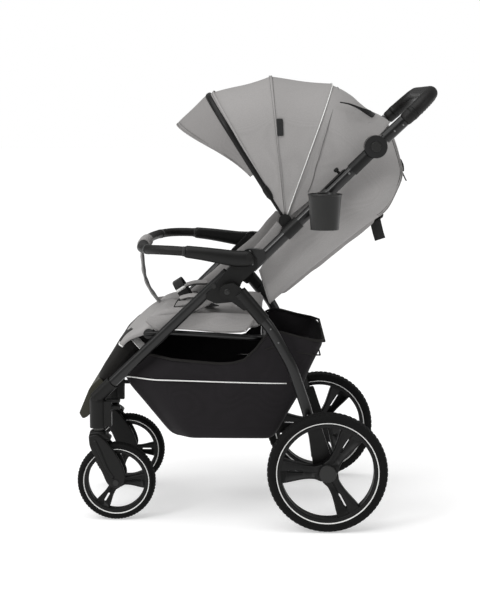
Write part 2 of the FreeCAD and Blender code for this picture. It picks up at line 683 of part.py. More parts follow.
def caster_fork():
    """The swivelling fork: stem, crown and two trailing arms."""
    x, wheel = FRONT_WHEEL_X, (FRONT_WHEEL_Y, FRONT_WHEEL_R)
    stem = Part.makeCylinder(7.0, 62, Vec(x, SWIVEL_Y, 205))
    crown = Part.makeCylinder(21.0, 26, Vec(x, SWIVEL_Y, 186))
    bridge = plate([(-414, 190), (-410, 212), (-374, 212), (-352, 196), (-372, 186), (-400, 184)],
                   x - 28, x + 28, 6)
    outline = [(-412, 206), (-382, 208), (-343, 155), (-326, 116), (-330, 88), (-354, 78), (-368, 86),
               (-397, 148)]
    arms = []
    for side in (x - 28, x + 20):
        arms.append(plate(outline, side, side + 8, [6, 14, 60, 16, 12, 14, 12, 50]))
    tyre_room = x_rod(wheel, x - 20, x + 20, FRONT_WHEEL_R + 4)
    axle_hole = x_rod(wheel, x - 40, x + 40, 4.0)
    body = joined(crown, bridge, *arms)
    return joined(minus(body, tyre_room, axle_hole), stem)


def front_axle():
    """The bolt through the fork and the front wheel."""
    x, wheel = FRONT_WHEEL_X, (FRONT_WHEEL_Y, FRONT_WHEEL_R)
    shank = x_rod(wheel, x - 30, x + 30, 4.0)
    heads = [x_rod(wheel, x + 28.05, x + 31, 7), x_rod(wheel, x - 31, x - 28.05, 7)]
    return joined(shank, *heads)


def fork_spring():
    """The short suspension spring pack between the crown and the housing."""
    x = FRONT_WHEEL_X
    rings = [Part.makeTorus(11.0, 1.5, Vec(x, SWIVEL_Y, 214.2 + 3.0 * k)) for k in range(3)]
    core = Part.makeCylinder(11.0, 9.0, Vec(x, SWIVEL_Y, 212.6))
    stem = Part.makeCylinder(7.2, 12.0, Vec(x, SWIVEL_Y, 211.0))
    return minus(joined(core, *rings), stem)


# ---------------------------------------------------------------- assembly
def both(name, shape, parts):
    """Adds the left piece and its mirrored right one."""
    parts[name + "_left"] = shape
    parts[name + "_right"] = mirrored(shape)


def build():
    """Every piece of the stroller by name, before recentring."""
    parts = {}
    both("front_leg", front_leg(), parts)
    both("hinge_bracket", bracket(), parts)
    parts["seat_frame"] = seat_frame()
    parts["footrest"] = footrest()
    parts["caster_housings"] = pair(caster_housing())
    parts["frame_fasteners"] = frame_fasteners()
    parts["seat_cushion"] = seat_cushion()
    parts["harness"] = harness()
    parts["harness_buckle"] = harness_buckle()
    parts["fold_strap"] = fold_strap()
    parts["basket"] = basket()
    both("rear_leg", rear_leg(), parts)
    parts["leg_knuckles"] = pair(leg_knuckle())
    parts["wheel_mounts"] = pair(wheel_mount())
    parts["rear_axle"] = rear_axle()
    parts["brake_pedal"] = brake_pedal()
    both("upper_tube", upper_tube_with_plug(), parts)
    parts["handle_sockets"] = pair(handle_socket())
    parts["cup_holder"] = cup_holder()
    parts["canopy_clips"] = pair(canopy_clip())
    parts["handle_bar"] = handle_bar()
    parts["handle_grip"] = handle_grip()
    both("adjust_button", adjust_button(), parts)
    parts["bumper_bar"] = bumper_bar()
    parts["bumper_sleeve"] = bumper_sleeve()
    both("bumper_button", bumper_button(), parts)
    parts["canopy_front_bow"] = canopy_front_bow()
    parts["canopy_rear_bow"] = canopy_rear_bow()
    parts["canopy_front_shell"] = canopy_front_shell()
    parts["canopy_rear_shell"] = canopy_rear_shell()
    parts["canopy_visor"] = canopy_visor()
    parts["back_board"] = back_board()
    parts["back_shell"] = back_shell()
    parts["leg_rest"] = leg_rest()
    both("caster_fork", caster_fork(), parts)
    both("fork_spring", fork_spring(), parts)
    both("front_axle", front_axle(), parts)
    both("swivel_lock", swivel_lock(), parts)
    both("tyre_front", front_tyre(), parts)
    both("rim_front", front_rim(), parts)
    both("tyre_rear", rear_tyre(), parts)
    both("rim_rear", rear_rim(), parts)
    both("hub_cap", hub_cap(), parts)
    return parts


def centre_shift(parts):
    """The move that brings the whole object's box centre onto the origin's X and Y."""
    bounds = Part.Compound(list(parts.values())).BoundBox
    return Vec(-bounds.Center.x, -bounds.Center.y, 0)


def main():
    """Writes one STEP file per piece."""
    os.makedirs("parts", exist_ok=True)
    parts = build()
    shift = centre_shift(parts)
    for name, shape in parts.items():
        moved = shape.copy()
        moved.translate(shift)
        moved.exportStep(os.path.join("parts", name + ".step"))
    print(len(parts), "pieces, shift", round(shift.x, 3), round(shift.y, 3))


if __name__ == "__main__":
    main()
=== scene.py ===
"""The looks of a four-wheel folding stroller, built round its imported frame.

Points are written in millimetres in the stroller's drawing frame: X is the distance from the middle
plane towards the child's left, Y runs backwards and Z up from the ground. at() turns such a point
into metres in the row frame.
"""

import math

import bmesh
import bpy
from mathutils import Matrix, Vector, noise


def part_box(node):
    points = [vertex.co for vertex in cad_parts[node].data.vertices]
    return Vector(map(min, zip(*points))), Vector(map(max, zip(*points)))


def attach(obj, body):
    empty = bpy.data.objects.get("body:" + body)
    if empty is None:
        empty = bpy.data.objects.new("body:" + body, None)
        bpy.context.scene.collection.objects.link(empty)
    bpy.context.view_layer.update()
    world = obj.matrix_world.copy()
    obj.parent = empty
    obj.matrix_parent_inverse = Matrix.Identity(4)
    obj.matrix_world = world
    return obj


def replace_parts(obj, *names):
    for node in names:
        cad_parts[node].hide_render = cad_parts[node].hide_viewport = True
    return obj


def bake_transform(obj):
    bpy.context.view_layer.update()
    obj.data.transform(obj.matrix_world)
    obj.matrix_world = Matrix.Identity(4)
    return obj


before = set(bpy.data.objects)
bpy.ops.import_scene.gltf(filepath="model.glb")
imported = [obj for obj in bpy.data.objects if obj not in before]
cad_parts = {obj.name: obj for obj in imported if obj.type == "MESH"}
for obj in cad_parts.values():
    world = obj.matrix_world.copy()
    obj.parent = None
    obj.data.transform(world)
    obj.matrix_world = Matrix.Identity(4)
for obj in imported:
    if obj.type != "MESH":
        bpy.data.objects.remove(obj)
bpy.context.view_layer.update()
scene = bpy.context.scene

# ---------------------------------------------------------------- places
REAR_AXLE_Y = 150.0
left_tyre, right_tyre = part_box("tyre_rear_left"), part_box("tyre_rear_right")
ORIGIN = Vector(((left_tyre[1].x + right_tyre[0].x) / 2,
                 (left_tyre[0].y + left_tyre[1].y) / 2 - REAR_AXLE_Y / 1000, 0.0))

REAR_WHEEL = (277.5, REAR_AXLE_Y, 140.0)
FRONT_WHEEL = (172.5, -347.7, 93.8)
SWIVEL_Y = -391.0
CANOPY_PIVOT = (51.0, 717.5)
HANDLE_PIVOT = (255.6, 887.6)
BUMPER_FRONT = (-286.0, 648.0)
FRAME_X = 238.0
REAR_BOW_DEG = 70.3
MIDDLE_RIB_DEG = 95.8
FRONT_BOW_DEG = 122.3
ARCH_HALF, ARCH_TOP, ARCH_CORNER = 215.0, 340.0, 120.0
CREST_DROP = 8.5
SIDES = ((1, "left"), (-1, "right"))


def at(x, y, z):
    """A point of the drawing frame as metres in the row frame."""
    return ORIGIN + Vector((x, y, z)) / 1000


def polar(pivot, radius, degrees):
    """The (y, z) point at an angle from +Y towards +Z about a pivot."""
    a = math.radians(degrees)
    return pivot[0] + radius * math.cos(a), pivot[1] + radius * math.sin(a)


# ---------------------------------------------------------------- lines and meshes
def even(points, count):
    """count points evenly spaced along a polyline."""
    lengths = [0.0]
    for a, b in zip(points, points[1:]):
        lengths.append(lengths[-1] + (b - a).length)
    out, j = [], 0
    for k in range(count):
        want = lengths[-1] * k / (count - 1)
        while j < len(points) - 2 and lengths[j + 1] < want:
            j += 1
        span = max(lengths[j + 1] - lengths[j], 1e-9)
        out.append(points[j].lerp(points[j + 1], (want - lengths[j]) / span))
    return out


def spline(points, count):
    """count points evenly spaced along a smooth line through the given ones."""
    pts = [Vector(p) for p in points]
    fine = []
    for i in range(len(pts) - 1):
        p0, p1, p2, p3 = pts[max(i - 1, 0)], pts[i], pts[i + 1], pts[min(i + 2, len(pts) - 1)]
        for k in range(16):
            t = k / 16
            fine.append(0.5 * (2 * p1 + (p2 - p0) * t + (2 * p0 - 5 * p1 + 4 * p2 - p3) * t ** 2
                               + (3 * p1 - p0 - 3 * p2 + p3) * t ** 3))
    fine.append(pts[-1])
    return even(fine, count)


def along(points, t):
    """The point at a share t of a polyline given as (share, value) pairs."""
    for (t0, v0), (t1, v1) in zip(points, points[1:]):
        if t <= t1:
            return v0 + (v1 - v0) * (t - t0) / (t1 - t0)
    return points[-1][1]


def smoothstep(low, high, value):
    """0 at low, 1 at high and smooth between."""
    t = min(1.0, max(0.0, (value - low) / (high - low)))
    return t * t * (3 - 2 * t)


def mesh_object(name, points, faces, material):
    """A smooth-shaded mesh from points of the drawing frame."""
    mesh = bpy.data.meshes.new(name)
    mesh.from_pydata([at(*p) for p in points], [], faces)
    mesh.validate()
    bm = bmesh.new()
    bm.from_mesh(mesh)
    bmesh.ops.remove_doubles(bm, verts=bm.verts, dist=1e-6)
    bmesh.ops.recalc_face_normals(bm, faces=bm.faces)
    bm.to_mesh(mesh)
    bm.free()
    mesh.polygons.foreach_set("use_smooth", [True] * len(mesh.polygons))
    mesh.materials.append(material)
    obj = bpy.data.objects.new(name, mesh)
    scene.collection.objects.link(obj)
    return obj


def grid(name, rows, material, round_rows=False, round_columns=False, caps=False):
    """A sheet of quads through rows of points, closed round either way or capped at both ends."""
    count, wide = len(rows), len(rows[0])
    points = [p for row in rows for p in row]
    faces = []
    for i in range(count if round_columns else count - 1):
        for j in range(wide if round_rows else wide - 1):
            below, right = (i + 1) % count, (j + 1) % wide
            faces.append((i * wide + j, i * wide + right, below * wide + right, below * wide + j))
    if caps:
        faces.append(tuple(range(wide)))
        faces.append(tuple(range((count - 1) * wide, count * wide)))
    return mesh_object(name, points, faces, material)


def sweep(name, path, section, material, side=None, closed=False):
    """A section of (across, out) offsets carried along a path. side is the direction of across."""
    path = [Vector(p) for p in path]
    count = len(path)
    rows = []
    across = Vector(side) if side else None
    for i, p in enumerate(path):
        before = path[i - 1] if closed or i else path[0]
        after = path[(i + 1) % count] if closed or i < count - 1 else path[-1]
        tangent = (after - before).normalized()
        if across is None:
            across = tangent.orthogonal()
        flat = (across - tangent * across.dot(tangent)).normalized()
        if side is None:
            across = flat
        out = tangent.cross(flat)
        shape = section(i / (count - 1)) if callable(section) else section
        rows.append([tuple(p + flat * a + out * b) for a, b in shape])
    return grid(name, rows, material, round_rows=True, round_columns=closed, caps=not closed)


def oval(across, out=None, sides=12):
    """A round or oval section."""
    out = across if out is None else out
    turns = [2 * math.pi * k / sides for k in range(sides)]
    return [(across * math.cos(a), out * math.sin(a)) for a in turns]


def strip(width, thick):
    """The section of a flat strap with soft edges."""
    w, t = width / 2, thick / 2
    edge = min(t, w) * 0.6
    right = [(w - edge, -t), (w, -t + edge), (w, t - edge), (w - edge, t)]
    return right + [(0, t), *[(-a, b) for a, b in reversed(right)], (0, -t)]


def lathe(name, profile, centre, material, turns=96, depth=None):
    """An (x, radius) profile turned about the wheel axis. depth(k, x, r) lowers points at step k."""
    rows = []
    for k in range(turns):
        a = 2 * math.pi * k / turns
        row = []
        for x, r in profile:
            r2 = r - (depth(k, x, r) if depth else 0.0)
            row.append((centre[0] + x, centre[1] + r2 * math.cos(a), centre[2] + r2 * math.sin(a)))
        rows.append(row)
    return grid(name, rows, material, round_rows=True, round_columns=True)


def slab(name, outline, low, high, ease, material, count=72):
    """A smooth (y, z) outline made into a plate between two x values, with its edges rounded."""
    line = spline([(0, *p) for p in [*outline, outline[0]]], count + 1)[:-1]
    inward = []
    for i in range(count):
        tangent = (line[(i + 1) % count] - line[i - 1]).normalized()
        inward.append(Vector((0, -tangent.z, tangent.y)))
    turning = sum((a.y * b.z - a.z * b.y) for a, b in zip(line, line[1:] + line[:1]))
    sign = 1 if turning > 0 else -1
    rings = [(low, ease * 1.7)]
    for k in range(6):
        a = math.pi / 2 * k / 5
        rings.append((low + ease * (1 - math.cos(a)), ease * (1 - math.sin(a))))
    rings += [(low + high - x, pull) for x, pull in reversed(rings)]
    rows = [[tuple(p + inward[i] * sign * pull + Vector((x, 0, 0))) for i, p in enumerate(line)]
            for x, pull in rings]
    return grid(name, rows, material, round_rows=True, caps=True)


def flip(points):
    """The same points on the other side of the stroller."""
    return [(-p[0], *p[1:]) for p in points]


def modify(obj, thick=None, levels=0, offset=-1.0):
    """Gives a sheet its thickness and smooths it."""
    if thick:
        solid = obj.modifiers.new("thickness", "SOLIDIFY")
        solid.thickness = thick / 1000
        solid.offset = offset
    if levels:
        smooth = obj.modifiers.new("smooth", "SUBSURF")
        smooth.levels = smooth.render_levels = levels
    return obj


def crumple(obj, depth, size, where=None):
    """Moves points along their normals by soft noise: depth in mm, size in mm, where(point) a share."""
    mesh = obj.data
    shifts = []
    for v in mesh.vertices:
        p = (v.co - ORIGIN) * 1000
        share = where(p) if where else 1.0
        shifts.append(v.normal * (noise.noise(p / size) * depth * share / 1000))
    for v, shift in zip(mesh.vertices, shifts):
        v.co += shift
    mesh.update()
    return obj


def cloth_sheet(obj, rows):
    """Works out the size that a sheet's rows and columns have when they are laid flat; nothing is done with
    it.
    """
    def length(points):
        return sum((Vector(b) - Vector(a)).length for a, b in zip(points, points[1:])) / 1000
    wide = max(length(row) for row in rows)
    long = max(length([row[j] for row in rows]) for j in range(len(rows[0])))
    area = sum(p.area for p in obj.data.polygons)
    area = min(max(area, 0.3 * wide * long), wide * long)


# ---------------------------------------------------------------- materials
def srgb(r, g=None, b=None):
    """A colour from 0-255 screen values as the linear one that shaders take."""
    parts = (r, r if g is None else g, r if b is None else b)
    return tuple(((c / 255 + 0.055) / 1.055) ** 2.4 for c in parts) + (1.0,)


def shade(base, factor):
    """A linear colour made darker or lighter."""
    return tuple(min(1.0, c * factor) for c in base[:3]) + (1.0,)


class Surface:
    """A material under construction: a Principled shader and the nodes that feed it."""

    def __init__(self, name, rough, **sockets):
        self.material = bpy.data.materials.new(name)
        self.material.use_nodes = True
        self.tree = self.material.node_tree
        self.shader = self.tree.nodes["Principled BSDF"]
        self.shader.inputs["Roughness"].default_value = rough
        for key, value in sockets.items():
            self.shader.inputs[key.replace("_", " ")].default_value = value
        self.place = self.add("ShaderNodeTexCoord").outputs["Object"]

    def add(self, kind, **settings):
        """A node with its settings and input values."""
        node = self.tree.nodes.new(kind)
        for key, value in settings.items():
            if key in node.inputs:
                node.inputs[key].default_value = value
            else:
                setattr(node, key, value)
        return node

    def link(self, output, target):
        self.tree.links.new(output, target)

    def noise(self, scale, detail=3.0, rough=0.5):
        """A noise texture's value."""
        node = self.add("ShaderNodeTexNoise", Scale=scale, Detail=detail, Roughness=rough)
        self.link(self.place, node.inputs["Vector"])
        return node.outputs["Fac"]

    def cells(self, scale, feature="DISTANCE_TO_EDGE"):
        """A Voronoi texture's distance."""
        node = self.add("ShaderNodeTexVoronoi", feature=feature, Scale=scale)
        self.link(self.place, node.inputs["Vector"])
        return node.outputs["Distance"]

    def bands(self, pitch, direction, distort=0.0):
        """A wave of that pitch in metres across one axis."""
        node = self.add("ShaderNodeTexWave", bands_direction=direction, Distortion=distort,
                        Scale=2 * math.pi / (20 * pitch))
        self.link(self.place, node.inputs["Vector"])
        return node.outputs["Fac"]

    def math(self, kind, a, b):
        """A math node of two outputs or numbers."""
        node = self.add("ShaderNodeMath", operation=kind)
        for value, target in ((a, node.inputs[0]), (b, node.inputs[1])):
            if isinstance(value, (int, float)):
                target.default_value = value
            else:
                self.link(value, target)
        return node.outputs[0]

    def spread(self, value, low, high, start=0.0, end=1.0):
        """Maps a value from start-end to low-high."""
        node = self.add("ShaderNodeMapRange")
        node.inputs["From Min"].default_value = start
        node.inputs["From Max"].default_value = end
        node.inputs["To Min"].default_value = low
        node.inputs["To Max"].default_value = high
        self.link(value, node.inputs["Value"])
        return node.outputs["Result"]

    def colour(self, value, dark, light, start=0.3, end=0.7):
        """Sets the base colour to a ramp between two colours."""
        ramp = self.add("ShaderNodeValToRGB")
        ramp.color_ramp.elements[0].position = start
        ramp.color_ramp.elements[1].position = end
        ramp.color_ramp.elements[0].color = dark
        ramp.color_ramp.elements[1].color = light
        self.link(value, ramp.inputs["Fac"])
        self.link(ramp.outputs["Color"], self.shader.inputs["Base Color"])

    def roughness(self, value, low, high):
        self.link(self.spread(value, low, high), self.shader.inputs["Roughness"])

    def bump(self, *layers, rounded=0.0):
        """Stacks (height, distance in mm, strength) layers, over edges rounded by some mm."""
        normal = None
        if rounded:
            node = self.add("ShaderNodeBevel", samples=4, Radius=rounded / 1000)
            normal = node.outputs["Normal"]
        for height, distance, strength in layers:
            node = self.add("ShaderNodeBump", Strength=strength, Distance=distance / 1000)
            self.link(height, node.inputs["Height"])
            if normal is not None:
                self.link(normal, node.inputs["Normal"])
            normal = node.outputs["Normal"]
        self.link(normal, self.shader.inputs["Normal"])
        return self.material


def woven(name, base, pitch=1.1, contrast=0.10, drift=0.05, folds=0.5, sheen=0.25, rough=0.86):
    """Woven cloth: threads both ways, a heathered tone, slow drifts of shade and soft folds."""
    s = Surface(name, rough, Sheen_Weight=sheen, Sheen_Roughness=0.45, Specular_IOR_Level=0.12)
    threads = s.math("ADD", s.bands(pitch / 1000, "X", 1.5), s.bands(pitch / 1000, "Y", 1.5))
    threads = s.math("ADD", threads, s.bands(pitch / 1000, "Z", 1.5))
    threads = s.math("MULTIPLY", threads, 1 / 3)
    heather = s.noise(420.0, 2.0)
    cloud = s.noise(5.0, 3.0)
    tone = s.math("ADD", s.math("MULTIPLY", heather, 0.6), s.math("MULTIPLY", threads, 0.4))
    tone = s.math("ADD", tone, s.math("MULTIPLY", s.math("SUBTRACT", cloud, 0.5), drift / contrast))
    s.colour(tone, shade(base, 1 - contrast), shade(base, 1 + contrast), 0.2, 0.8)
    s.roughness(heather, rough - 0.08, rough + 0.08)
    return s.bump((s.noise(14.0, 2.0), 6.0, 0.12 * folds), (threads, 0.25, 0.35))


def netting(name, base, pitch=2.4):
    """Open mesh cloth seen as dark pores between knots."""
    s = Surface(name, 0.8, Sheen_Weight=0.1, Specular_IOR_Level=0.3)
    pores = s.cells(1000 / pitch, "F1")
    s.colour(pores, base, shade(base, 0.35), 0.25, 0.55)
    s.roughness(pores, 0.65, 0.9)
    return s.bump((s.noise(16.0, 2.0), 4.0, 0.1), (pores, 0.5, 0.5))


def webbed(name, base, pitch=1.6):
    """Strap webbing with ribs across it."""
    s = Surface(name, 0.7, Sheen_Weight=0.15, Specular_IOR_Level=0.35)
    ribs = s.math("ADD", s.bands(pitch / 1000, "Y", 0.4), s.bands(pitch / 1000, "Z", 0.4))
    ribs = s.math("MULTIPLY", ribs, 0.5)
    s.colour(ribs, shade(base, 0.7), base, 0.2, 0.8)
    s.roughness(s.noise(300.0), 0.6, 0.8)
    return s.bump((ribs, 0.4, 0.5))


def leathered(name, base):
    """Stitched leatherette with a pebble grain and a slight shine on the crests."""
    s = Surface(name, 0.42, Specular_IOR_Level=0.24, Coat_Weight=0.03, Coat_Roughness=0.45)
    pebble = s.cells(620.0)
    fine = s.noise(1500.0, 2.0)
    s.colour(pebble, shade(base, 0.72), base, 0.02, 0.25)
    s.roughness(s.noise(40.0), 0.42, 0.58)
    return s.bump((s.noise(30.0, 2.0), 1.5, 0.12), (pebble, 0.3, 0.25), (fine, 0.1, 0.15))


def moulded(name, base, rough=0.5, grain=0.12, rounded=1.2, coat=0.0):
    """Moulded plastic: a fine spark-eroded grain, faint flow marks and eased edges."""
    s = Surface(name, rough, Specular_IOR_Level=0.24, Coat_Weight=coat, Coat_Roughness=0.25)
    flow = s.noise(9.0, 4.0)
    s.colour(flow, shade(base, 0.88), shade(base, 1.14))
    s.roughness(s.noise(60.0, 4.0), rough - 0.07, rough + 0.09)
    return s.bump((s.noise(1300.0, 2.0), 0.12, grain), rounded=rounded)


def coated(name, base, rough=0.3):
    """Powder-coated tube: smooth and dark, with a very fine orange peel and painted highlights as lighter,
    rougher spots.
    """
    s = Surface(name, rough, Specular_IOR_Level=0.3, Coat_Weight=0.22, Coat_Roughness=0.12)
    painted_highlight_spots = s.noise(22.0, 5.0, 0.6)
    # painted highlight: random spots lighter than the dark base
    s.colour(painted_highlight_spots, base, shade(base, 1.35), 0.35, 0.8)
    s.roughness(painted_highlight_spots, rough - 0.06, rough + 0.12)
    return s.bump((s.noise(700.0, 2.0), 0.08, 0.15), rounded=0.8)


def foam_rubber(name, base):
    """Foam tyre skin: dull, slightly pitted, paler with dust on high spots."""
    s = Surface(name, 0.82, Specular_IOR_Level=0.2)
    dust = s.noise(35.0, 5.0, 0.65)
    s.colour(dust, base, shade(base, 1.5), 0.4, 0.85)
    s.roughness(dust, 0.72, 0.92)
    return s.bump((s.noise(800.0, 3.0), 0.25, 0.3), rounded=0.6)


def bright(name, base, rough=0.25, metallic=1.0):
    """Plated metal with faint brushing."""
    s = Surface(name, rough, Metallic=metallic)
    brush = s.noise(260.0, 4.0)
    s.colour(brush, shade(base, 0.85), base)
    s.roughness(brush, rough - 0.05, rough + 0.15)
    return s.bump((brush, 0.05, 0.2), rounded=0.5)


def reflective(name):
    """Woven reflective piping and tape: pale, beaded and slightly shiny."""
    s = Surface(name, 0.45, Specular_IOR_Level=0.6, Metallic=0.1)
    beads = s.cells(1600.0, "F1")
    s.colour(beads, srgb(246, 246, 244), srgb(214, 214, 212), 0.2, 0.7)
    s.roughness(beads, 0.35, 0.6)
    return s.bump((beads, 0.15, 0.3))


GREY = woven("grey_fabric", srgb(149, 147, 146), sheen=0.05)
# Painted shade: a darker copy of the grey cloth for the wings, back pad, piping and bindings.
GREY_SHADE = woven("inner_fabric", srgb(136, 134, 133), pitch=0.9, sheen=0.05)
# Painted shade: the visor's cloth is the grey canopy cloth made darker, as the visor sits in shade.
SHADED_VISOR_GREY = woven("visor_fabric_painted_shade", srgb(130, 128, 127), sheen=0.05)
CHARCOAL = woven("basket_fabric", srgb(32, 30, 32), pitch=1.4, contrast=0.2, sheen=0.04)
COVER_BLACK = woven("leg_rest_fabric", srgb(34, 33, 32), pitch=1.3, contrast=0.18, sheen=0.04)
MESH = netting("vent_mesh", srgb(20, 20, 20))
WEB = webbed("webbing", srgb(24, 24, 24))
WEB_GREY = webbed("grey_webbing", srgb(140, 139, 138))
LEATHER = leathered("leatherette", srgb(16, 15, 14))
BLACK = moulded("black_plastic", srgb(11, 11, 10), rough=0.42)
SATIN = moulded("satin_button", srgb(25, 25, 24), rough=0.34, grain=0.05, coat=0.2)
OLIVE = moulded("olive_plastic", srgb(52, 51, 42), rough=0.55, grain=0.2)
RIM = moulded("rim_plastic", srgb(6, 6, 6), rough=0.44, grain=0.16)
TUBE = coated("frame_tube", srgb(6, 6, 6))
TYRE = foam_rubber("tyre", srgb(5, 5, 5))
STEEL = bright("steel", srgb(120, 120, 120))
SPRING = moulded("spring_rubber", srgb(112, 112, 110), rough=0.35)
TAPE = reflective("reflective_piping")
THREAD = webbed("thread", srgb(96, 95, 94), 0.8)
THREAD_DARK = webbed("dark_thread", srgb(26, 26, 26), 0.8)


# ---------------------------------------------------------------- canopy
def arch(s, offset=0.0, start=12.0):
    """(x, radius) on the canopy's arch: s runs from 0 at the left pivot to 1 at the right one."""
    half, top, corner = ARCH_HALF + offset, ARCH_TOP + offset, ARCH_CORNER + offset
    side, bend = top - corner - start, corner * math.pi / 2
    d = min(s, 1 - s) * 2 * (side + bend + half - corner)
    sign = 1 if s <= 0.5 else -1
    if d < side:
        return sign * half, start + d
    if d < side + bend:
        a = (d - side) / corner
        return sign * (half - corner + corner * math.cos(a)), top - corner + corner * math.sin(a)
    across = half - corner - (d - side - bend)
    return sign * across, top + 3.0 * (1 - (across / (half - corner)) ** 2)


def fan_point(s, degrees, offset=0.0, shrink=1.0, start=12.0):
    """A point of the canopy at an angle about its pivot."""
    x, r = arch(s, offset, start)
    low = CREST_DROP * smoothstep(130.0, 320.0, r) * smoothstep(FRONT_BOW_DEG, MIDDLE_RIB_DEG, degrees)
    return (x, *polar(CANOPY_PIVOT, r * shrink - low, degrees))


def taut(degrees):
    """How far cloth pulled straight between two ribs falls short of the round, and where it lies."""
    for low, high in ((REAR_BOW_DEG, MIDDLE_RIB_DEG), (MIDDLE_RIB_DEG, FRONT_BOW_DEG)):
        if degrees <= high:
            break
    half = (high - low) / 2
    fall = math.cos(math.radians(half)) / math.cos(math.radians(degrees - low - half))
    share = (degrees - low) / (high - low)
    return fall - 0.002 * math.sin(math.pi * share), share


def canopy_cloth():
    """The main cloth from the rear bow over the middle rib to the front bow."""
    rows = []
    steps = 36
    for i in range(steps + 1):
        degrees = REAR_BOW_DEG + (FRONT_BOW_DEG - 1.0 - REAR_BOW_DEG) * i / steps
        fall, share = taut(degrees)
        dip = 2.0 * math.sin(math.pi * share)
        rows.append([fan_point(j / 72, degrees, -dip * 0.5, fall) for j in range(73)])
    cloth = grid("canopy_cloth", rows, GREY)
    crumple(cloth, 2.0, 90.0)
    cloth_sheet(cloth, rows)
    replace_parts(modify(cloth, 1.4, 1), "canopy_front_shell")
    return cloth


def over_arch(degrees, offset, first=0.0, last=1.0, steps=96, shrink=1.0, start=12.0):
    """A line over the canopy at one angle."""
    return [fan_point(first + (last - first) * k / steps, degrees, offset, shrink, start)
            for k in range(steps + 1)]


def blend_canopy(obj):
    """Bakes a canopy piece's placement into its mesh."""
    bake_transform(obj)


def canopy_seams():
    """The felled seam over the middle rib, its stitching, and the reflective piping at the rear bow."""
    welt = sweep("canopy_seam", over_arch(MIDDLE_RIB_DEG, 0.6), strip(7.0, 1.4), GREY, side=(0, 1, 0))
    blend_canopy(welt)
    for label, beside in (("a", -0.5), ("b", 0.55)):
        line = over_arch(MIDDLE_RIB_DEG + beside, 1.2)
        blend_canopy(sweep("canopy_stitch_" + label, line, oval(0.45, sides=6), THREAD))
    piping = sweep("canopy_piping", over_arch(REAR_BOW_DEG, 0.9), oval(1.1, sides=8), TAPE)
    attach(piping, "canopy_rear")
    hem = sweep("canopy_front_hem", over_arch(FRONT_BOW_DEG - 2.3, 0.4, shrink=0.998), strip(5.0, 1.4),
                GREY, side=(0, 1, 1))
    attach(hem, "canopy_front")


def front_bow():
    """The flat black bow that shows between the canopy and its visor."""
    side = (0, *polar((0, 0), 1, FRONT_BOW_DEG - 90))
    widths = [(0, 3.5), (0.05, 4.0), (0.075, 6.8), (0.925, 6.8), (0.95, 4.0), (1.0, 3.5)]
    bow = sweep("canopy_front_bow_trim", over_arch(FRONT_BOW_DEG, -1.2, start=10.0),
                lambda t: oval(along(widths, t), 4.2, 14), BLACK, side=side)
    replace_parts(bow, "canopy_front_bow")
    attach(bow, "canopy_front")
    for sign, name in SIDES:
        knuckle = [(sign * 216, *polar(CANOPY_PIVOT, r, FRONT_BOW_DEG)) for r in (58, 66, 74, 82, 92)]
        widths = [(0, 4.2), (0.25, 7.4), (0.7, 8.2), (1.0, 6.6)]
        joint = sweep("canopy_knuckle_" + name, spline(knuckle, 14),
                      lambda t: oval(along(widths, t), 5.0, 12), BLACK, side=side)
        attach(joint, "canopy_front")


def rear_bow():
    """The flat bow under the cloth where the canopy's side panels meet its rear panel."""
    line = over_arch(REAR_BOW_DEG, -7.5, start=10.0)
    bow = sweep("canopy_rear_bow_trim", line, oval(6.5, 2.2, 12), BLACK,
                side=(0, *polar((0, 0), 1, REAR_BOW_DEG - 90)))
    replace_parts(bow, "canopy_rear_bow")
    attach(bow, "canopy_rear")


def visor():
    """The sun visor ahead of the front bow, wide over the top and running out down the sides."""
    rows = []
    for i in range(15):
        share = i / 14
        row = []
        for j in range(73):
            x, r = arch(0.12 + 0.76 * j / 72, -0.5, 12.0)
            spread = 4.0 + 12.2 * smoothstep(100.0, 340.0, r) ** 0.8
            dip = math.sin(math.pi * share) * 0.010
            lift = 0.012 * share
            y, z = polar(CANOPY_PIVOT, r * (1 - dip - lift), FRONT_BOW_DEG + 1.0 + spread * share)
            row.append((x * (1 - 0.02 * share), y, z))
        rows.append(row)
    # the visor cloth takes the darker grey, painted shade
    cloth = grid("canopy_visor_cloth", rows, SHADED_VISOR_GREY)
    crumple(cloth, 2.0, 70.0)
    cloth_sheet(cloth, rows)
    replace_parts(modify(cloth, 1.6, 1), "canopy_visor")
    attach(cloth, "canopy_front")
    edge = sweep("visor_edge", rows[-1], oval(1.5, sides=8), SHADED_VISOR_GREY)
    inside = [Vector(a).lerp(Vector(b), 0.75) for a, b in zip(rows[-3], rows[-2])]
    stitch = sweep("visor_stitch", inside, oval(0.45, sides=6), THREAD)
    for piece in (edge, stitch):
        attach(piece, "canopy_front")


# (degrees about the pivot, share of the full radius) down the hood
HOOD_RADIUS = [(39.0, 0.992), (43.0, 0.99), (47.0, 0.974), (50.0, 0.958), (53.0, 0.952), (57.0, 0.958),
               (61.0, 0.974), (65.2, 0.992), (REAR_BOW_DEG, 0.998)]
# (radius, degrees) along the stitched line over the hood
HOOD_SEAM = [(0.0, 48.0), (85.0, 51.4), (141.0, 60.3), (198.6, 64.0), (256.5, 66.1), (314.7, 67.4),
             (400.0, 67.6)]

# The dark strip under the hood's rear hem, widening towards its end: partly vent mesh, partly painted shade
# in the gap under the hem.
VENT_SHADE_LINE = [(196, 176, 988), (194, 200, 983), (180, 231, 970), (150, 252, 960), (100, 268, 953)]


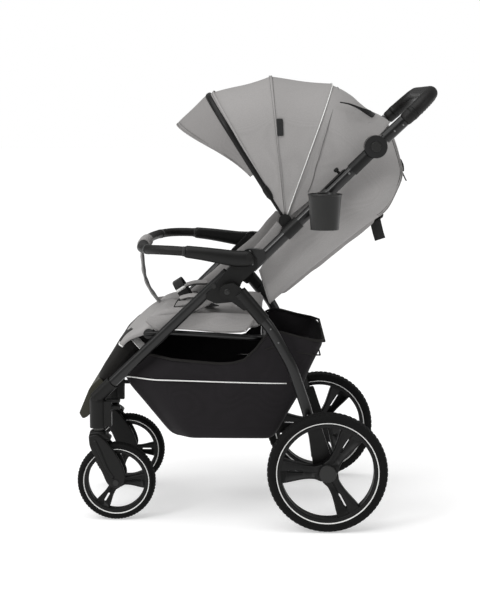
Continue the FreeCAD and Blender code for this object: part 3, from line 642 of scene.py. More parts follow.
def hood_rear():
    """The cloth behind the rear bow, stepping down to the head of the seat."""
    rows = []
    for i in range(25):
        row = []
        for j in range(73):
            x, r = arch(j / 72, -1.5 - 2.5 * smoothstep(0, 6, i), 12.0)
            end = 39.5 + 2.5 * smoothstep(225.0, 300.0, r)
            degrees = REAR_BOW_DEG - (REAR_BOW_DEG - end) * i / 24
            drop = along(HOOD_RADIUS, degrees)
            share = smoothstep(140.0, 300.0, r)
            low = CREST_DROP * smoothstep(130.0, 320.0, r) * smoothstep(58.0, REAR_BOW_DEG, degrees)
            row.append((x, *polar(CANOPY_PIVOT, r * (1 - (1 - drop) * share) - low, degrees)))
        rows.append(row)
    cloth = grid("canopy_rear_cloth", rows, GREY)
    crumple(cloth, 3.0, 80.0)
    cloth_sheet(cloth, rows)
    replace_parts(modify(cloth, 1.4, 1), "canopy_rear_shell")
    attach(cloth, "canopy_rear")
    seam = []
    for k in range(97):
        x, r = arch(k / 96, -2.6, 12.0)
        if r > 78:
            low = CREST_DROP * smoothstep(130.0, 320.0, r)
            seam.append((x, *polar(CANOPY_PIVOT, r - low, along(HOOD_SEAM, r))))
    stitch = sweep("canopy_rear_stitch", seam, oval(0.7, sides=6), THREAD)
    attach(stitch, "canopy_rear")
    for sign, name in SIDES:
        line = [(sign * x, y, z) for x, y, z in VENT_SHADE_LINE]
        widths = [(0, 0.8), (0.25, 3.6), (0.6, 7.2), (0.9, 8.0), (1.0, 4.0)]
        # dark strip along the hem: vent mesh with painted shade in the gap under the hem
        vent_shade = sweep("canopy_vent_shade_" + name, spline(line, 28), lambda t: oval(along(widths, t), 1.6, 10),
                    MESH, side=(sign, -0.5, 0.8))
        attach(vent_shade, "canopy_rear")


def canopy_tag():
    """The small blank woven tag on the side seam."""
    rows = []
    for i in range(9):
        rows.append([(ARCH_HALF + 2.6 + 0.5 * math.sin(i), 30 + 15 * j / 4 + i * 0.25, 951 - 40 * i / 8)
                     for j in range(5)])
    tag = grid("canopy_tag", rows, WEB)
    cloth_sheet(tag, rows)
    modify(tag, 1.0, 1, 0.0)
    blend_canopy(tag)


def build_canopy():
    """Every piece of the canopy."""
    blend_canopy(canopy_cloth())
    canopy_seams()
    front_bow()
    rear_bow()
    visor()
    hood_rear()
    canopy_tag()


# ---------------------------------------------------------------- seat back
# the back's side: its straight front edges by share of height, and its curved rear
BACK_FRONT = [(0.0, Vector((0, -8, 602))), (0.26, Vector((0, 60, 712))), (1.0, Vector((0, 266, 942)))]
BACK_REAR = [(17, 518), (28, 527), (133, 616), (239, 702), (285, 734), (308, 773), (325, 818), (319, 858),
             (305, 906), (289, 944)]
BACK_HALF = 200.0
SIDE_SEAM_LOW, SEAM_COLUMN = 722.0, 18
BACK_CORNER, BACK_CROWN = 46.0, 7.0
HEAD_START, HEAD_ROUND = 217.0, 114.0


def back_rows():
    """Rows from the left front edge round the back to the right one, from the foot to the head."""
    rear = spline([(0, *p) for p in BACK_REAR], 41)
    flat = BACK_HALF - BACK_CORNER
    rows = []
    for i, back in enumerate(rear):
        front = along(BACK_FRONT, min(i / 40, 0.999))
        depth = back - front
        inward = depth.normalized()
        straight = depth.length - BACK_CORNER
        bulge = 2.5 * math.sin(math.pi * i / 40)
        stations = [(BACK_HALF + bulge * math.sin(math.pi * k / 12), straight * k / 12) for k in range(13)]
        for k in range(1, 9):
            a = math.pi / 2 * k / 8
            stations.append((flat + BACK_CORNER * math.cos(a), straight + BACK_CORNER * math.sin(a)))
        for k in range(1, 9):
            share = 1 - k / 8
            stations.append((flat * share, depth.length + BACK_CROWN * (1 - share ** 2)))
        left = [Vector((x, 0, 0)) + front + inward * reach for x, reach in stations]
        for p in left:
            reach = math.hypot(p.y - CANOPY_PIVOT[0], p.z - CANOPY_PIVOT[1])
            if reach > HEAD_START and p.z > 800:
                drawn = math.sqrt(max(HEAD_ROUND ** 2 - (reach - HEAD_START) ** 2, 0.0))
                p.x = min(p.x, BACK_HALF - HEAD_ROUND + drawn)
        rows.append([tuple(p) for p in left] + [(-p.x, p.y, p.z) for p in reversed(left[:-1])])
    return rows


def back_moves(piece):
    """Bakes the placement of a piece of the back tub into its mesh."""
    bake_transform(piece)


def seat_back():
    """The cloth tub behind the child, with piped rear seams."""
    rows = back_rows()
    cloth = grid("seat_back_cloth", rows, GREY)
    crumple(cloth, 3.0, 110.0)
    crumple(cloth, 1.5, 40.0, lambda p: smoothstep(740, 560, p.z))
    cloth_sheet(cloth, rows)
    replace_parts(modify(cloth, 2.0, 1, -1.0), "back_shell")
    back_moves(cloth)
    high = [row for row in rows if row[SEAM_COLUMN][2] > SIDE_SEAM_LOW]
    seam = [Vector(row[SEAM_COLUMN]) + Vector((1.2, 1.2, 0)) for row in high]
    groove = [Vector(row[SEAM_COLUMN - 1]) + Vector((0.8, 0.2, 0)) for row in high]
    for sign, name in SIDES:
        for kind, line, radius, sides, material in (("piping", seam, 1.6, 8, GREY_SHADE),
                                                    ("stitch", groove, 0.6, 6, THREAD_DARK)):
            cord = sweep(f"back_{kind}_{name}", line if sign > 0 else flip(line), oval(radius, sides=sides),
                         material)
            back_moves(cord)
    binding = sweep("back_head_binding", rows[-1], oval(2.2, sides=8), GREY_SHADE)
    foot = sweep("back_foot_binding", rows[0], oval(2.0, sides=8), GREY_SHADE)
    for piece in (binding, foot):
        back_moves(piece)


def back_hardware():
    """The recline strap with its slider, and the webbing tab below the back."""
    line = spline([(0, 318, 870), (0, 331, 838), (0, 340, 815), (0, 348, 799)], 18)
    strap = sweep("recline_strap", line, strip(24.0, 2.0), WEB, side=(1, 0, 0))
    line = spline([(0, 331, 850), (0, 337, 836), (0, 338, 822)], 8)
    slider = sweep("recline_slider", line, strip(34.0, 7.0), BLACK, side=(1, 0, 0))
    line = spline([(96, 264, 722), (97, 269, 700), (98, 274, 680), (98, 279, 664)], 18)
    tab = sweep("back_tab", line, strip(26.0, 2.4), WEB, side=(0, 1, 0))
    line = spline([(-112, 276, 713), (-60, 281, 715), (0, 282, 715), (60, 281, 715), (112, 276, 713)], 40)
    wide = sweep("back_webbing", line, strip(20.0, 2.0), WEB, side=(0, 0.79, 0.61))
    for piece in (strap, slider, tab, wide):
        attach(piece, "backrest")


# ---------------------------------------------------------------- padded pieces
def swell(name, points, faces, material, pressure=4.0, voxel=5.0, cap=9.0):
    """A pad swollen from a closed form by a short pressure simulation."""
    pad = mesh_object(name, points, faces, material)
    remesh = pad.modifiers.new("remesh", "REMESH")
    remesh.mode = "VOXEL"
    remesh.voxel_size = voxel / 1000
    bake(pad)
    rest = [v.co.copy() for v in pad.data.vertices]
    cloth = pad.modifiers.new("cloth", "CLOTH")
    cloth.settings.quality = 4
    cloth.settings.mass = 0.2
    cloth.settings.tension_stiffness = 12
    cloth.settings.compression_stiffness = 12
    cloth.settings.bending_stiffness = 0.6
    cloth.settings.use_pressure = True
    cloth.settings.uniform_pressure_force = pressure
    cloth.settings.effector_weights.gravity = 0
    cloth.point_cache.frame_start = 1
    cloth.point_cache.frame_end = 20
    for frame_number in range(1, 21):
        scene.frame_set(frame_number)
    bake(pad)
    scene.frame_set(1)
    for v, start in zip(pad.data.vertices, rest):
        move = v.co - start
        if move.length > cap / 1000:
            v.co = start + move.normalized() * (cap / 1000)
    soften(pad, 4)
    return pad


def bake(obj):
    """Applies an object's modifiers to its mesh."""
    graph = bpy.context.evaluated_depsgraph_get()
    made = bpy.data.meshes.new_from_object(obj.evaluated_get(graph))
    old, obj.data = obj.data, made
    obj.modifiers.clear()
    bpy.data.meshes.remove(old)
    made.polygons.foreach_set("use_smooth", [True] * len(made.polygons))


def soften(obj, rounds):
    """Relaxes a mesh a little."""
    bm = bmesh.new()
    bm.from_mesh(obj.data)
    for _ in range(rounds):
        bmesh.ops.smooth_vert(bm, verts=bm.verts, factor=0.5, use_axis_x=True, use_axis_y=True,
                              use_axis_z=True)
    bm.to_mesh(obj.data)
    bm.free()


def prism(outline, half, inset=14.0):
    """A closed (y, z) outline across the stroller with its ends drawn in."""
    ends = [(-half, inset), (-half + inset * 0.6, 0.0), (half - inset * 0.6, 0.0), (half, inset)]
    middle = sum((Vector(p) for p in outline), Vector((0, 0))) / len(outline)
    points = []
    for x, pull in ends:
        for y, z in outline:
            away = Vector((y, z)) - middle
            point = middle + away * max(0.1, 1 - pull / max(away.length, 1.0))
            points.append((x, point.x, point.y))
    n = len(outline)
    faces = [tuple(range(n)), tuple(range(3 * n, 4 * n))]
    for k in range(3):
        for j in range(n):
            i = (j + 1) % n
            faces.append((k * n + j, k * n + i, (k + 1) * n + i, (k + 1) * n + j))
    return points, faces


def channel(obj, depth, width, distance, where=lambda p: True):
    """Sinks sewn channels: distance(point) is how far a point lies from the stitch line, in mm."""
    for v in obj.data.vertices:
        p = (v.co - ORIGIN) * 1000
        if not where(p):
            continue
        d = distance(p)
        if d < width:
            v.co -= v.normal * (depth * (1 - smoothstep(0.0, width, d)) / 1000)
    obj.data.update()


def seat_pad():
    """The seat: a crowned pad with a rolled front edge, two cross channels and one along each side."""
    outline = [(-232, 500), (-258, 493), (-276, 476), (-262, 466), (-200, 463), (-60, 462), (0, 467),
               (8, 492), (0, 502), (-60, 500), (-150, 503)]
    pad = swell("seat_pad", *prism(outline, 186.0), GREY, cap=7.0)
    for line in (-170.0, -70.0):
        channel(pad, 4.0, 9.0, lambda p, line=line: abs(p.y - line - 8.0 * math.cos(p.x / 120)),
                lambda p: p.z > 490 and abs(p.x) < 150)
    channel(pad, 3.0, 7.0, lambda p: abs(abs(p.x) - 150.0), lambda p: p.z > 490 and p.y > -225)
    crumple(pad, 1.6, 45.0)
    modify(pad, levels=1)
    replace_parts(pad, "seat_cushion")
    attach(pad, "front_frame")


def leg_rest_pad():
    """The black leg-rest pad: a wedge over its board, hinged under the seat's front edge."""
    outline = [(-276, 452), (-300, 458), (-334, 425), (-394, 331), (-386, 322), (-373, 322), (-286, 420),
               (-270, 436)]
    pad = swell("leg_rest_pad", *prism(outline, 156.0), COVER_BLACK, cap=6.0)
    channel(pad, 3.0, 7.0, lambda p: abs(abs(p.x) - 118.0), lambda p: p.z < 430)
    crumple(pad, 1.6, 40.0)
    modify(pad, levels=1)
    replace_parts(pad, "leg_rest")
    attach(pad, "leg_rest")
    for sign, name in SIDES:
        line = spline([(sign * 160, -303, 435), (sign * 161, -274, 402)], 10)
        tab = sweep("leg_rest_tab_" + name, line, strip(17.0, 2.4), WEB_GREY, side=(0, 0.75, 0.66))
        line = [(sign * 161.5, -309.5, 429.5), (sign * 162, -280.5, 396.5)]
        edge = sweep("leg_rest_tab_edge_" + name, line, oval(1.0, sides=6), TAPE)
        for piece in (tab, edge):
            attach(piece, "leg_rest")
    line = [(x, -262, 445) for x in range(-158, 159, 4)]
    roll = sweep("leg_rest_roll", line, oval(15.5, 15.5, 20), COVER_BLACK, side=(0, 0, 1))
    crumple(roll, 1.2, 22.0)
    modify(roll, levels=1)
    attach(roll, "leg_rest")


def seat_flap():
    """The grey cloth from the seat's front edge down over the leg rest to its piped hem."""
    line = [(-224, 511), (-246, 507), (-264, 501), (-282, 489), (-304, 469), (-325, 444), (-340, 421)]
    middle = spline([(0, *p) for p in line], 21)
    rows = []
    for i, p in enumerate(middle):
        share = i / 20
        ahead = middle[min(i + 1, 20)] - middle[max(i - 1, 0)]
        down = Vector((0, ahead.z, -ahead.y)).normalized()
        if down.z >= 0:
            down = -down
        half = 189.0 - 18.0 * smoothstep(0.35, 1.0, share)
        row = []
        for j in range(41):
            a = 2 * (j / 40) - 1
            turned = smoothstep(0.86, 1.0, abs(a))
            x = half * math.copysign(min(abs(a) / 0.9, 1.0), a)
            domed = 24.0 * a * a * smoothstep(1.0, 0.5, share) + 4.0 * smoothstep(0.9, 0.3, share)
            row.append(tuple(p + Vector((x, 0, 0)) + down * (12.0 * turned + domed)))
        rows.append(row)
    cloth = grid("seat_flap", rows, GREY)
    crumple(cloth, 2.4, 55.0)
    cloth_sheet(cloth, rows)
    modify(cloth, 1.6, 1)
    hem = sweep("seat_flap_hem", rows[-1], oval(1.7, sides=8), TAPE)
    for piece in (cloth, hem):
        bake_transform(piece)


def seat_sides():
    """The cloth panel and its corded edge on each side of the seat."""
    for sign, name in SIDES:
        rows = []
        for i in range(25):
            share = i / 24
            y = -274 + 268 * share
            top = 489 + 8 * math.sin(math.pi * share) + 6 * share
            low = 455 + 4 * share + 5 * math.sin(math.pi * share * 2) + 42 * smoothstep(0.86, 1.0, share)
            low += 24 * smoothstep(0.08, 0.0, share)
            rows.append([(sign * (191 + 3 * math.sin(math.pi * k / 8)), y, top + (low - top) * k / 8)
                         for k in range(9)])
        panel = grid("seat_side_" + name, rows, GREY)
        crumple(panel, 3.0, 60.0)
        cloth_sheet(panel, rows)
        modify(panel, 1.6, 1, 0.0)
        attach(panel, "front_frame")
        edge = sweep("seat_side_edge_" + name, [row[-1] for row in rows], oval(1.6, sides=8), GREY_SHADE)
        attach(edge, "front_frame")


def seat_wings():
    """The padded wings along both sides, from the seat up to the canopy."""
    for sign, name in SIDES:
        core = spline([(0, -188, 508), (0, -150, 540), (0, -92, 590), (0, -27, 647), (0, 33, 714)], 33)
        rows = []
        for i, p in enumerate(core):
            ahead = (core[min(i + 1, 32)] - core[max(i - 1, 0)]).normalized()
            up = Vector((0, -ahead.z, ahead.y))
            full = 1 - 0.5 * abs(2 * i / 32 - 1) ** 3
            section = [(196, -34), (197, -14), (195, -3), (190, 1), (184, -3), (179, -16), (176, -40)]
            rows.append([(sign * x, *(p + up * b * full)[1:]) for x, b in section])
        wing = grid("seat_wing_" + name, rows, GREY_SHADE)
        crumple(wing, 3.0, 45.0)
        cloth_sheet(wing, rows)
        modify(wing, 2.0, 2)
        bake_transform(wing)


BACK_TILT = math.radians(38.0)
BACK_FOOT = Vector((0, 24.0, 538.0))
BACK_AHEAD = Vector((0, math.cos(BACK_TILT), math.sin(BACK_TILT)))
BACK_UP = Vector((0, -math.sin(BACK_TILT), math.cos(BACK_TILT)))
BACK_PAD_OUTLINE = [(2, -8), (60, -8), (200, -8), (306, -6), (316, 6), (304, 20), (200, 24), (90, 26),
                    (10, 20)]


def on_back(x, reach, rise):
    """A point above the reclined back: how far up along it and how far off it."""
    return BACK_FOOT + Vector((x, 0, 0)) + BACK_AHEAD * reach + BACK_UP * rise


def back_pad():
    """The padded backrest with its sewn channels."""
    outline = [tuple(on_back(0, *p).yz) for p in BACK_PAD_OUTLINE]
    pad = swell("back_pad", *prism(outline, 168.0), GREY_SHADE, cap=8.0)
    for reach in (90.0, 170.0):
        channel(pad, 4.0, 9.0, lambda p, reach=reach: abs((p - BACK_FOOT).dot(BACK_AHEAD) - reach),
                lambda p: (p - BACK_FOOT).dot(BACK_UP) > 8)
    channel(pad, 3.5, 8.0, lambda p: abs(abs(p.x) - 112.0), lambda p: (p - BACK_FOOT).dot(BACK_UP) > 8)
    crumple(pad, 1.5, 40.0)
    modify(pad, levels=1)
    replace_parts(pad, "back_board")
    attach(pad, "backrest")


# ---------------------------------------------------------------- harness
def crotch_strap():
    """The gathered strap from the seat's front edge up to the bumper."""
    y, z = BUMPER_FRONT
    path = spline([(0, y - 10, z - 12), (0, y - 9, z - 46), (0, y - 2, z - 92), (0, -272, 526),
                   (0, -258, 506), (0, -250, 492), (0, -243, 484)], 44)
    widths = [(0.0, 15.0), (0.2, 17.0), (0.7, 18.0), (1.0, 14.0)]
    crotch = sweep("crotch_strap", path, lambda t: oval(along(widths, t), 4.4, 20), WEB_GREY,
                   side=(1, 0, 0))
    crumple(crotch, 2.0, 20.0)
    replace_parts(crotch, "harness")
    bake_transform(crotch)


def hip_straps(sign, name):
    """The lap strap of one side, its hip pad and the strap that holds the pad."""
    lap = spline([(sign * 36, -131, 513), (sign * 90, -130, 511), (sign * 150, -128, 510),
                  (sign * 172, -112, 516)], 30)
    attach(sweep("lap_strap_" + name, lap, strip(25.0, 2.0), WEB, side=(0, 1, 0)), "front_frame")
    line = spline([(sign * 136, -196, 527), (sign * 140, -172, 533), (sign * 146, -142, 533)], 20)
    widths = [(0.0, 18.0), (0.1, 24.0), (0.9, 25.0), (1.0, 19.0)]
    pad = sweep("hip_pad_" + name, line, lambda t: oval(along(widths, t), 5.0, 20), GREY, side=(1, 0, 0))
    modify(pad, levels=1)
    under = [p + Vector((0, 0, -3.6)) for p in line]
    binding = sweep("hip_pad_binding_" + name, under, lambda t: oval(along(widths, t) * 1.02, 1.8, 20), WEB,
                    side=(1, 0, 0))
    down = spline([(sign * 148, -196, 528), (sign * 149, -204, 520), (sign * 150, -210, 508)], 12)
    tail = sweep("hip_strap_" + name, down, strip(22.0, 2.2), WEB, side=(1, 0, 0))
    for piece in (pad, binding, tail):
        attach(piece, "front_frame")


def shoulder_straps(sign, name):
    """The shoulder strap of one side with its pad, lying on the back."""
    line = [on_back(sign * 62.0, *p) for p in ((40, 33), (90, 38), (160, 38), (230, 37), (262, 26))]
    strap = sweep("shoulder_strap_" + name, spline(line, 40), strip(25.0, 2.0), WEB, side=(1, 0, 0))
    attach(strap, "backrest")
    chest = [on_back(sign * 62.0, *p) for p in ((120, 40), (170, 43), (225, 41))]
    widths = [(0.0, 16.0), (0.06, 24.0), (0.94, 24.0), (1.0, 16.0)]
    cover = sweep("shoulder_pad_" + name, spline(chest, 24), lambda t: oval(along(widths, t), 6.0, 16),
                  GREY, side=(1, 0, 0))
    modify(cover, levels=1)
    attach(cover, "backrest")


def pull_strap():
    """The arched pull strap across the seat, with its two tape marks."""
    foot, lean = Vector((0, -187.0, 516.0)), math.radians(32.0)
    rise, width = Vector((0, -math.sin(lean), math.cos(lean))), (0, math.cos(lean), math.sin(lean))
    half = [(38, -4), (38.5, 14), (36, 32), (22, 44), (0, 45.5)]
    arc = [foot + Vector((x, 0, 0)) + rise * h for x, h in half + flip(half[-2::-1])]
    loop = spline(arc, 45)
    pull = sweep("pull_strap", loop, strip(24.0, 2.6), WEB, side=width)
    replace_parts(pull, "fold_strap")
    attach(pull, "front_frame")
    for name, first in (("a", 7), ("b", 36)):
        mark = sweep("pull_strap_tape_" + name, loop[first:first + 3], strip(24.4, 3.4), TAPE, side=width)
        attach(mark, "front_frame")


def build_harness():
    """Crotch strap to the bumper, lap and shoulder straps with pads, and the pull strap."""
    crotch_strap()
    for sign, name in SIDES:
        hip_straps(sign, name)
        shoulder_straps(sign, name)
    pull_strap()


# ---------------------------------------------------------------- basket
# the rim's height by share of the length, and the two ends' (height, Y)
BASKET_RIM = [(0.0, 388), (0.05, 397), (0.18, 391), (0.44, 382), (0.53, 381), (0.59, 390), (0.625, 408),
              (0.655, 437), (0.70, 460), (0.76, 456), (0.86, 444), (1.0, 432)]
BASKET_NOSE = [(198, -214), (203, -224), (346, -344), (392, -292), (470, -278)]
BASKET_TAIL = [(198, 26), (204, 34), (314, 100), (371, 121), (397, 133), (420, 143), (446, 146),
               (470, 140)]
BASKET_FLOOR, BASKET_HALF = 198.0, 203.0


def basket_width(share, z):
    """The basket's half-width: full along the sides and drawn in at both ends, more so in front."""
    bulge = 4.0 * smoothstep(203.0, 300.0, z) - 14.0 * smoothstep(222.0, 198.0, z)
    front, rear = 0.21 * smoothstep(0.22, 0.02, share), 0.10 * smoothstep(0.95, 1.0, share)
    return (BASKET_HALF + bulge) * (1 - front - rear)


def basket_rows():
    """Rings from the middle of the floor out to its edge and up to the rim."""
    ring = [(k / 22, 1) for k in range(23)] + [(k / 22, -1) for k in reversed(range(23))]
    rows = []
    levels = [-0.85, -0.6, -0.35, -0.12, 0.0, 0.05, 0.12, 0.22, 0.34, 0.46, 0.58, 0.68, 0.78, 0.86, 0.93,
              1.0]
    for level in levels:
        row = []
        for p, sign in ring:
            top = along(BASKET_RIM, p)
            lift = max(level, 0.0)
            z = BASKET_FLOOR + (top - BASKET_FLOOR) * lift
            nose, tail = along(BASKET_NOSE, z), along(BASKET_TAIL, z)
            x = sign * basket_width(p, z)
            y = nose + (tail - nose) * p
            if level < 0:
                shrink = 1 + level
                middle = (along(BASKET_NOSE, BASKET_FLOOR) + along(BASKET_TAIL, BASKET_FLOOR)) / 2
                x, y = x * shrink, middle + (y - middle) * (1 + level * 0.9)
                z -= 7.0 * (1 - shrink ** 2)
            row.append((x, y, z))
        rows.append(row)
    return rows


def basket():
    """The cloth basket with its rim binding, the seam of its rear pocket and its piping."""
    rows = basket_rows()
    cloth = grid("basket_cloth", rows, CHARCOAL, round_rows=True)
    crumple(cloth, 4.0, 75.0, lambda p: smoothstep(194, 260, p.z) + 0.4)
    crumple(cloth, 5.0, 24.0, lambda p: smoothstep(10, 90, p.y) * smoothstep(330, 420, p.z))
    cloth_sheet(cloth, rows)
    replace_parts(modify(cloth, 1.6, 1, -1.0), "basket")
    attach(cloth, "front_frame")
    rim = sweep("basket_rim", rows[-1], oval(3.0, 3.0, 8), COVER_BLACK, closed=True)
    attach(rim, "front_frame")
    seam = [(p[0] * 1.006, p[1] + 0.6, p[2]) for p, q in zip(rows[-3], rows[-1]) if q[1] > 8]
    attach(sweep("pocket_seam", seam, oval(1.8, sides=8), COVER_BLACK), "front_frame")
    for sign, name in SIDES:
        line = []
        for k in range(41):
            y, z = -325 + 381 * k / 40, 343 - 8 * smoothstep(0, 40, k)
            nose, tail = along(BASKET_NOSE, z), along(BASKET_TAIL, z)
            line.append((sign * (basket_width((y - nose) / (tail - nose), z) + 1.4), y, z))
        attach(sweep("basket_piping_" + name, line, oval(1.5, sides=8), TAPE), "front_frame")


# ---------------------------------------------------------------- bumper and handle
BUMPER_SEAM_Y = -172.0


def bumper():
    """The bumper: a leatherette cover with seam rings, moulded arms and a cloth sleeve in the middle."""
    half = [(271, -57.5, 632.3), (270.5, -100, 640), (269, -140, 646), (264, -190, 651), (248, -236, 652),
            (212, -268, 650), (150, -284, 648), (70, -288, 648), (0, -288, 648)]
    line = spline(half + flip(half[-2::-1]), 121)
    covered = [p for p in line if p.y < BUMPER_SEAM_Y]
    cover = sweep("bumper_cover", covered, oval(11.0, 12.5, 18), LEATHER, side=(0, 0, 1))
    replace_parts(cover, "bumper_bar")
    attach(cover, "bumper")
    for k in (0, 14, -16, -2):
        name = f"bumper_seam_{k % len(covered)}"
        ring = sweep(name, [covered[k], covered[k + 1]], oval(11.6, 13.1, 18), THREAD_DARK, side=(0, 0, 1))
        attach(ring, "bumper")
    for sign, name in SIDES:
        path = spline([(sign * 271, -22, 635), (sign * 271, -57.5, 634), (sign * 270.5, -100, 640),
                       (sign * 269, -138, 645.5), (sign * 265.5, BUMPER_SEAM_Y - 6, 650)], 37)
        heights = [(0.0, 12.0), (0.06, 18.0), (0.2, 19.0), (0.5, 17.0), (0.8, 15.0), (0.97, 14.2),
                   (1.0, 12.5)]
        depths = [(0.0, 8.0), (0.06, 11.0), (0.6, 11.8), (0.97, 12.0), (1.0, 11.2)]
        arm = sweep("bumper_arm_" + name, path,
                    lambda t: oval(along(heights, t), along(depths, t), 20), BLACK, side=(0, 0, 1))
        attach(arm, "bumper")
    sleeve_line = [p for p in line if abs(p.x) < 62]
    sleeve = sweep("bumper_sleeve_cloth", even(sleeve_line, 40),
                   lambda t: oval(15.5 + 1.2 * math.sin(t * 26) * math.sin(math.pi * t), None, 18), GREY)
    crumple(sleeve, 1.6, 18.0)
    modify(sleeve, levels=1)
    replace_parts(sleeve, "bumper_sleeve")
    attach(sleeve, "bumper")


def rounded(points, radius):
    """A polyline with each right-angled corner turned into an arc."""
    pts = [Vector(p) for p in points]
    out = [pts[0]]
    for before, corner, after in zip(pts, pts[1:], pts[2:]):
        u, v = (corner - before).normalized(), (after - corner).normalized()
        for k in range(17):
            a = math.pi / 2 * k / 16
            out.append(corner - u * radius * (1 - math.sin(a)) + v * radius * (1 - math.cos(a)))
    return out + [pts[-1]]


def handle_grip():
    """The leatherette cover of the handle with its end bands and the laced seam underneath."""
    y, z = HANDLE_PIVOT
    slope = math.radians(43.0)
    along_arm = Vector((0, math.cos(slope), math.sin(slope)))
    out = Vector((0, math.sin(slope), -math.cos(slope)))
    start, corner = Vector((248.4, y, z)) + along_arm * 87, Vector((245.5, y, z)) + along_arm * 178
    line = even(rounded([start, corner, *flip([corner, start])], 78.0), 121)
    radii = [(0.0, 14.0), (0.008, 15.6), (0.03, 16.2), (0.97, 16.2), (0.992, 15.6), (1.0, 14.0)]
    grip = sweep("handle_cover", line, lambda t: oval(along(radii, t), along(radii, t), 24), LEATHER)
    crumple(grip, 0.3, 22.0)
    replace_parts(grip, "handle_grip")
    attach(grip, "handle")
    for name, first in (("left", 4), ("right", 114)):
        band = sweep("grip_band_" + name, line[first:first + 3], oval(16.7, 16.7, 24), BLACK)
        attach(band, "handle")
    for k in range(8, 113, 2):
        stitch = [line[k] + out * 15.8 - Vector((0, 0, 0.8)), line[k + 1] + out * 15.8]
        lace = sweep(f"grip_lace_{k}", stitch, oval(0.8, sides=6), THREAD)
        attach(lace, "handle")


# ---------------------------------------------------------------- wheels
def tread_depth(half, groove):
    """How far the tread lies below the tyre's profile at each step."""
    def depth(k, x, r):
        flat = abs(x) < half * 0.86
        across = k % 6 in (0, 1)
        ring = abs(abs(x) - half * 0.30) < 1.2
        return groove if flat and (across or ring) else 0.0
    return depth


def tyre(kind, name, centre, side, width, ring):
    """A foam tyre with a blocked tread, rounded shoulders and a reflective line on each wall."""
    half, top = width / 2, centre[2]
    wall = [(-0.72, ring), (-0.90, ring + 1), (-0.985, ring + 4), (-1.0, ring + 6.5), (-0.975, ring + 7.2),
            (-1.0, ring + 8), (-0.99, top - 10), (-0.93, top - 5.5), (-0.86, top - 3.4), (-0.85, top - 3.3),
            (-0.6, top - 1.4), (-0.36, top - 0.5), (-0.34, top - 0.45), (-0.26, top - 0.4),
            (-0.24, top - 0.3)]
    profile = [(x * half, r) for x, r in wall + [(0.0, top - 0.1)]]
    profile += [(-x, r) for x, r in reversed(profile[:-1])]
    place = (side * centre[0], centre[1], centre[2])
    body = f"{name}_{kind}_wheel"
    made = lathe(f"tread_{kind}_{name}", profile, place, TYRE, 432, tread_depth(half, 1.3))
    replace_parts(made, f"tyre_{kind}_{name}")
    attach(made, body)
    for outwards, label in ((-1, "a"), (1, "b")):
        band = [(half - 5.5, ring - 1.6), (half - 3.4, ring - 1.4), (half - 2.6, ring + 0.2),
                (half - 3.0, ring + 1.2), (half - 5.5, ring + 1.0)]
        band = [(outwards * x, r) for x, r in band]
        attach(lathe(f"ring_{kind}_{name}{label}", band, place, TAPE, 144), body)


def rim(kind, name, centre, side, width, ring, window, hub, first):
    """A moulded rim: channelled band, round hub and three ribbed spokes, each with a narrow slit."""
    half = width / 2
    place = (side * centre[0], centre[1], centre[2])
    piece_name = f"wheel_rim_{kind}_{name}"
    wall = [(half - 9, window), (half - 6.5, window - 0.6), (half - 5.4, window + 0.8),
            (half - 5.0, ring - 3.4), (half - 6.2, ring - 1.4), (half - 7.0, ring + 0.2)]
    band = lathe(piece_name, wall + [(-x, r) for x, r in reversed(wall)], place, RIM, 144)
    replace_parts(band, f"rim_{kind}_{name}")
    core = [(half - 1.2, 0.02), (half - 1.2, hub * 0.5), (half - 2.0, hub * 0.86), (half - 4.0, hub * 0.98),
            (half - 9.0, hub + 1.0), (half - 12.0, hub + 2.5), (-half + 4.0, hub + 1.0),
            (-half + 2.2, hub * 0.96), (-half + 2.2, 0.02)]
    pieces = [band, lathe(piece_name + "_hub", core, place, RIM, 72)]
    reach = window + 1.5 - hub * 0.6

    def section(t, sign):
        """One half of a spoke: a raised rim along its edge and a sunk web, held off the slit."""
        share = (hub * 0.6 + reach * t - hub) / (window - hub)
        wide = hub * 0.72 + (window * 0.27 - hub * 0.72) * smoothstep(0.18, 1.12, share)
        wide += 5 * smoothstep(0.12, -0.1, share)
        top = half - 7.5 - 1.5 * math.sin(math.pi * min(max(share, 0), 1))
        sink = 3.6 * smoothstep(0.02, 0.2, share) * smoothstep(1.0, 0.86, share)
        slit = 2.2 * smoothstep(0.38, 0.42, share) * smoothstep(0.84, 0.80, share)
        edge = [(slit, top - sink - 0.8), (slit + 1.2, top - sink), (wide - 6.0, top - sink),
                (wide - 4.6, top - 0.4), (wide - 3.0, top), (wide - 1.2, top - 0.6), (wide, top - 2.6)]
        return [(sign * a, b) for a, b in edge + [(a, -b) for a, b in reversed(edge)]]

    for k in range(3):
        a = math.radians(first + 120.0 * k)
        radial = Vector((0, math.cos(a), math.sin(a)))
        across = tuple(radial.cross(Vector((1, 0, 0))))
        path = [Vector(place) + radial * (hub * 0.6 + reach * j / 60) for j in range(61)]
        for sign, label in ((1, "a"), (-1, "b")):
            pieces.append(sweep(f"{piece_name}_spoke_{k}{label}", path,
                                lambda t, sign=sign: section(t, sign), RIM, side=across))
    for piece in pieces:
        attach(piece, f"{name}_{kind}_wheel")


# kind, axle, tyre width, and the radii of ring, window and hub, with the angle of the first spoke
WHEELS = [("rear", REAR_WHEEL, 45.0, 118.0, 108.0, 21.0, 178.0),
          ("front", FRONT_WHEEL, 34.0, 78.0, 68.0, 14.0, 0.0)]


def build_wheels():
    """Tyres, reflective rings and rims of all four wheels."""
    for side, name in SIDES:
        for kind, centre, width, ring, *_ in WHEELS:
            tyre(kind, name, centre, side, width, ring)
        for kind, centre, width, ring, window, hub, first in WHEELS:
            rim(kind, name, centre, side, width, ring, window, hub, first)


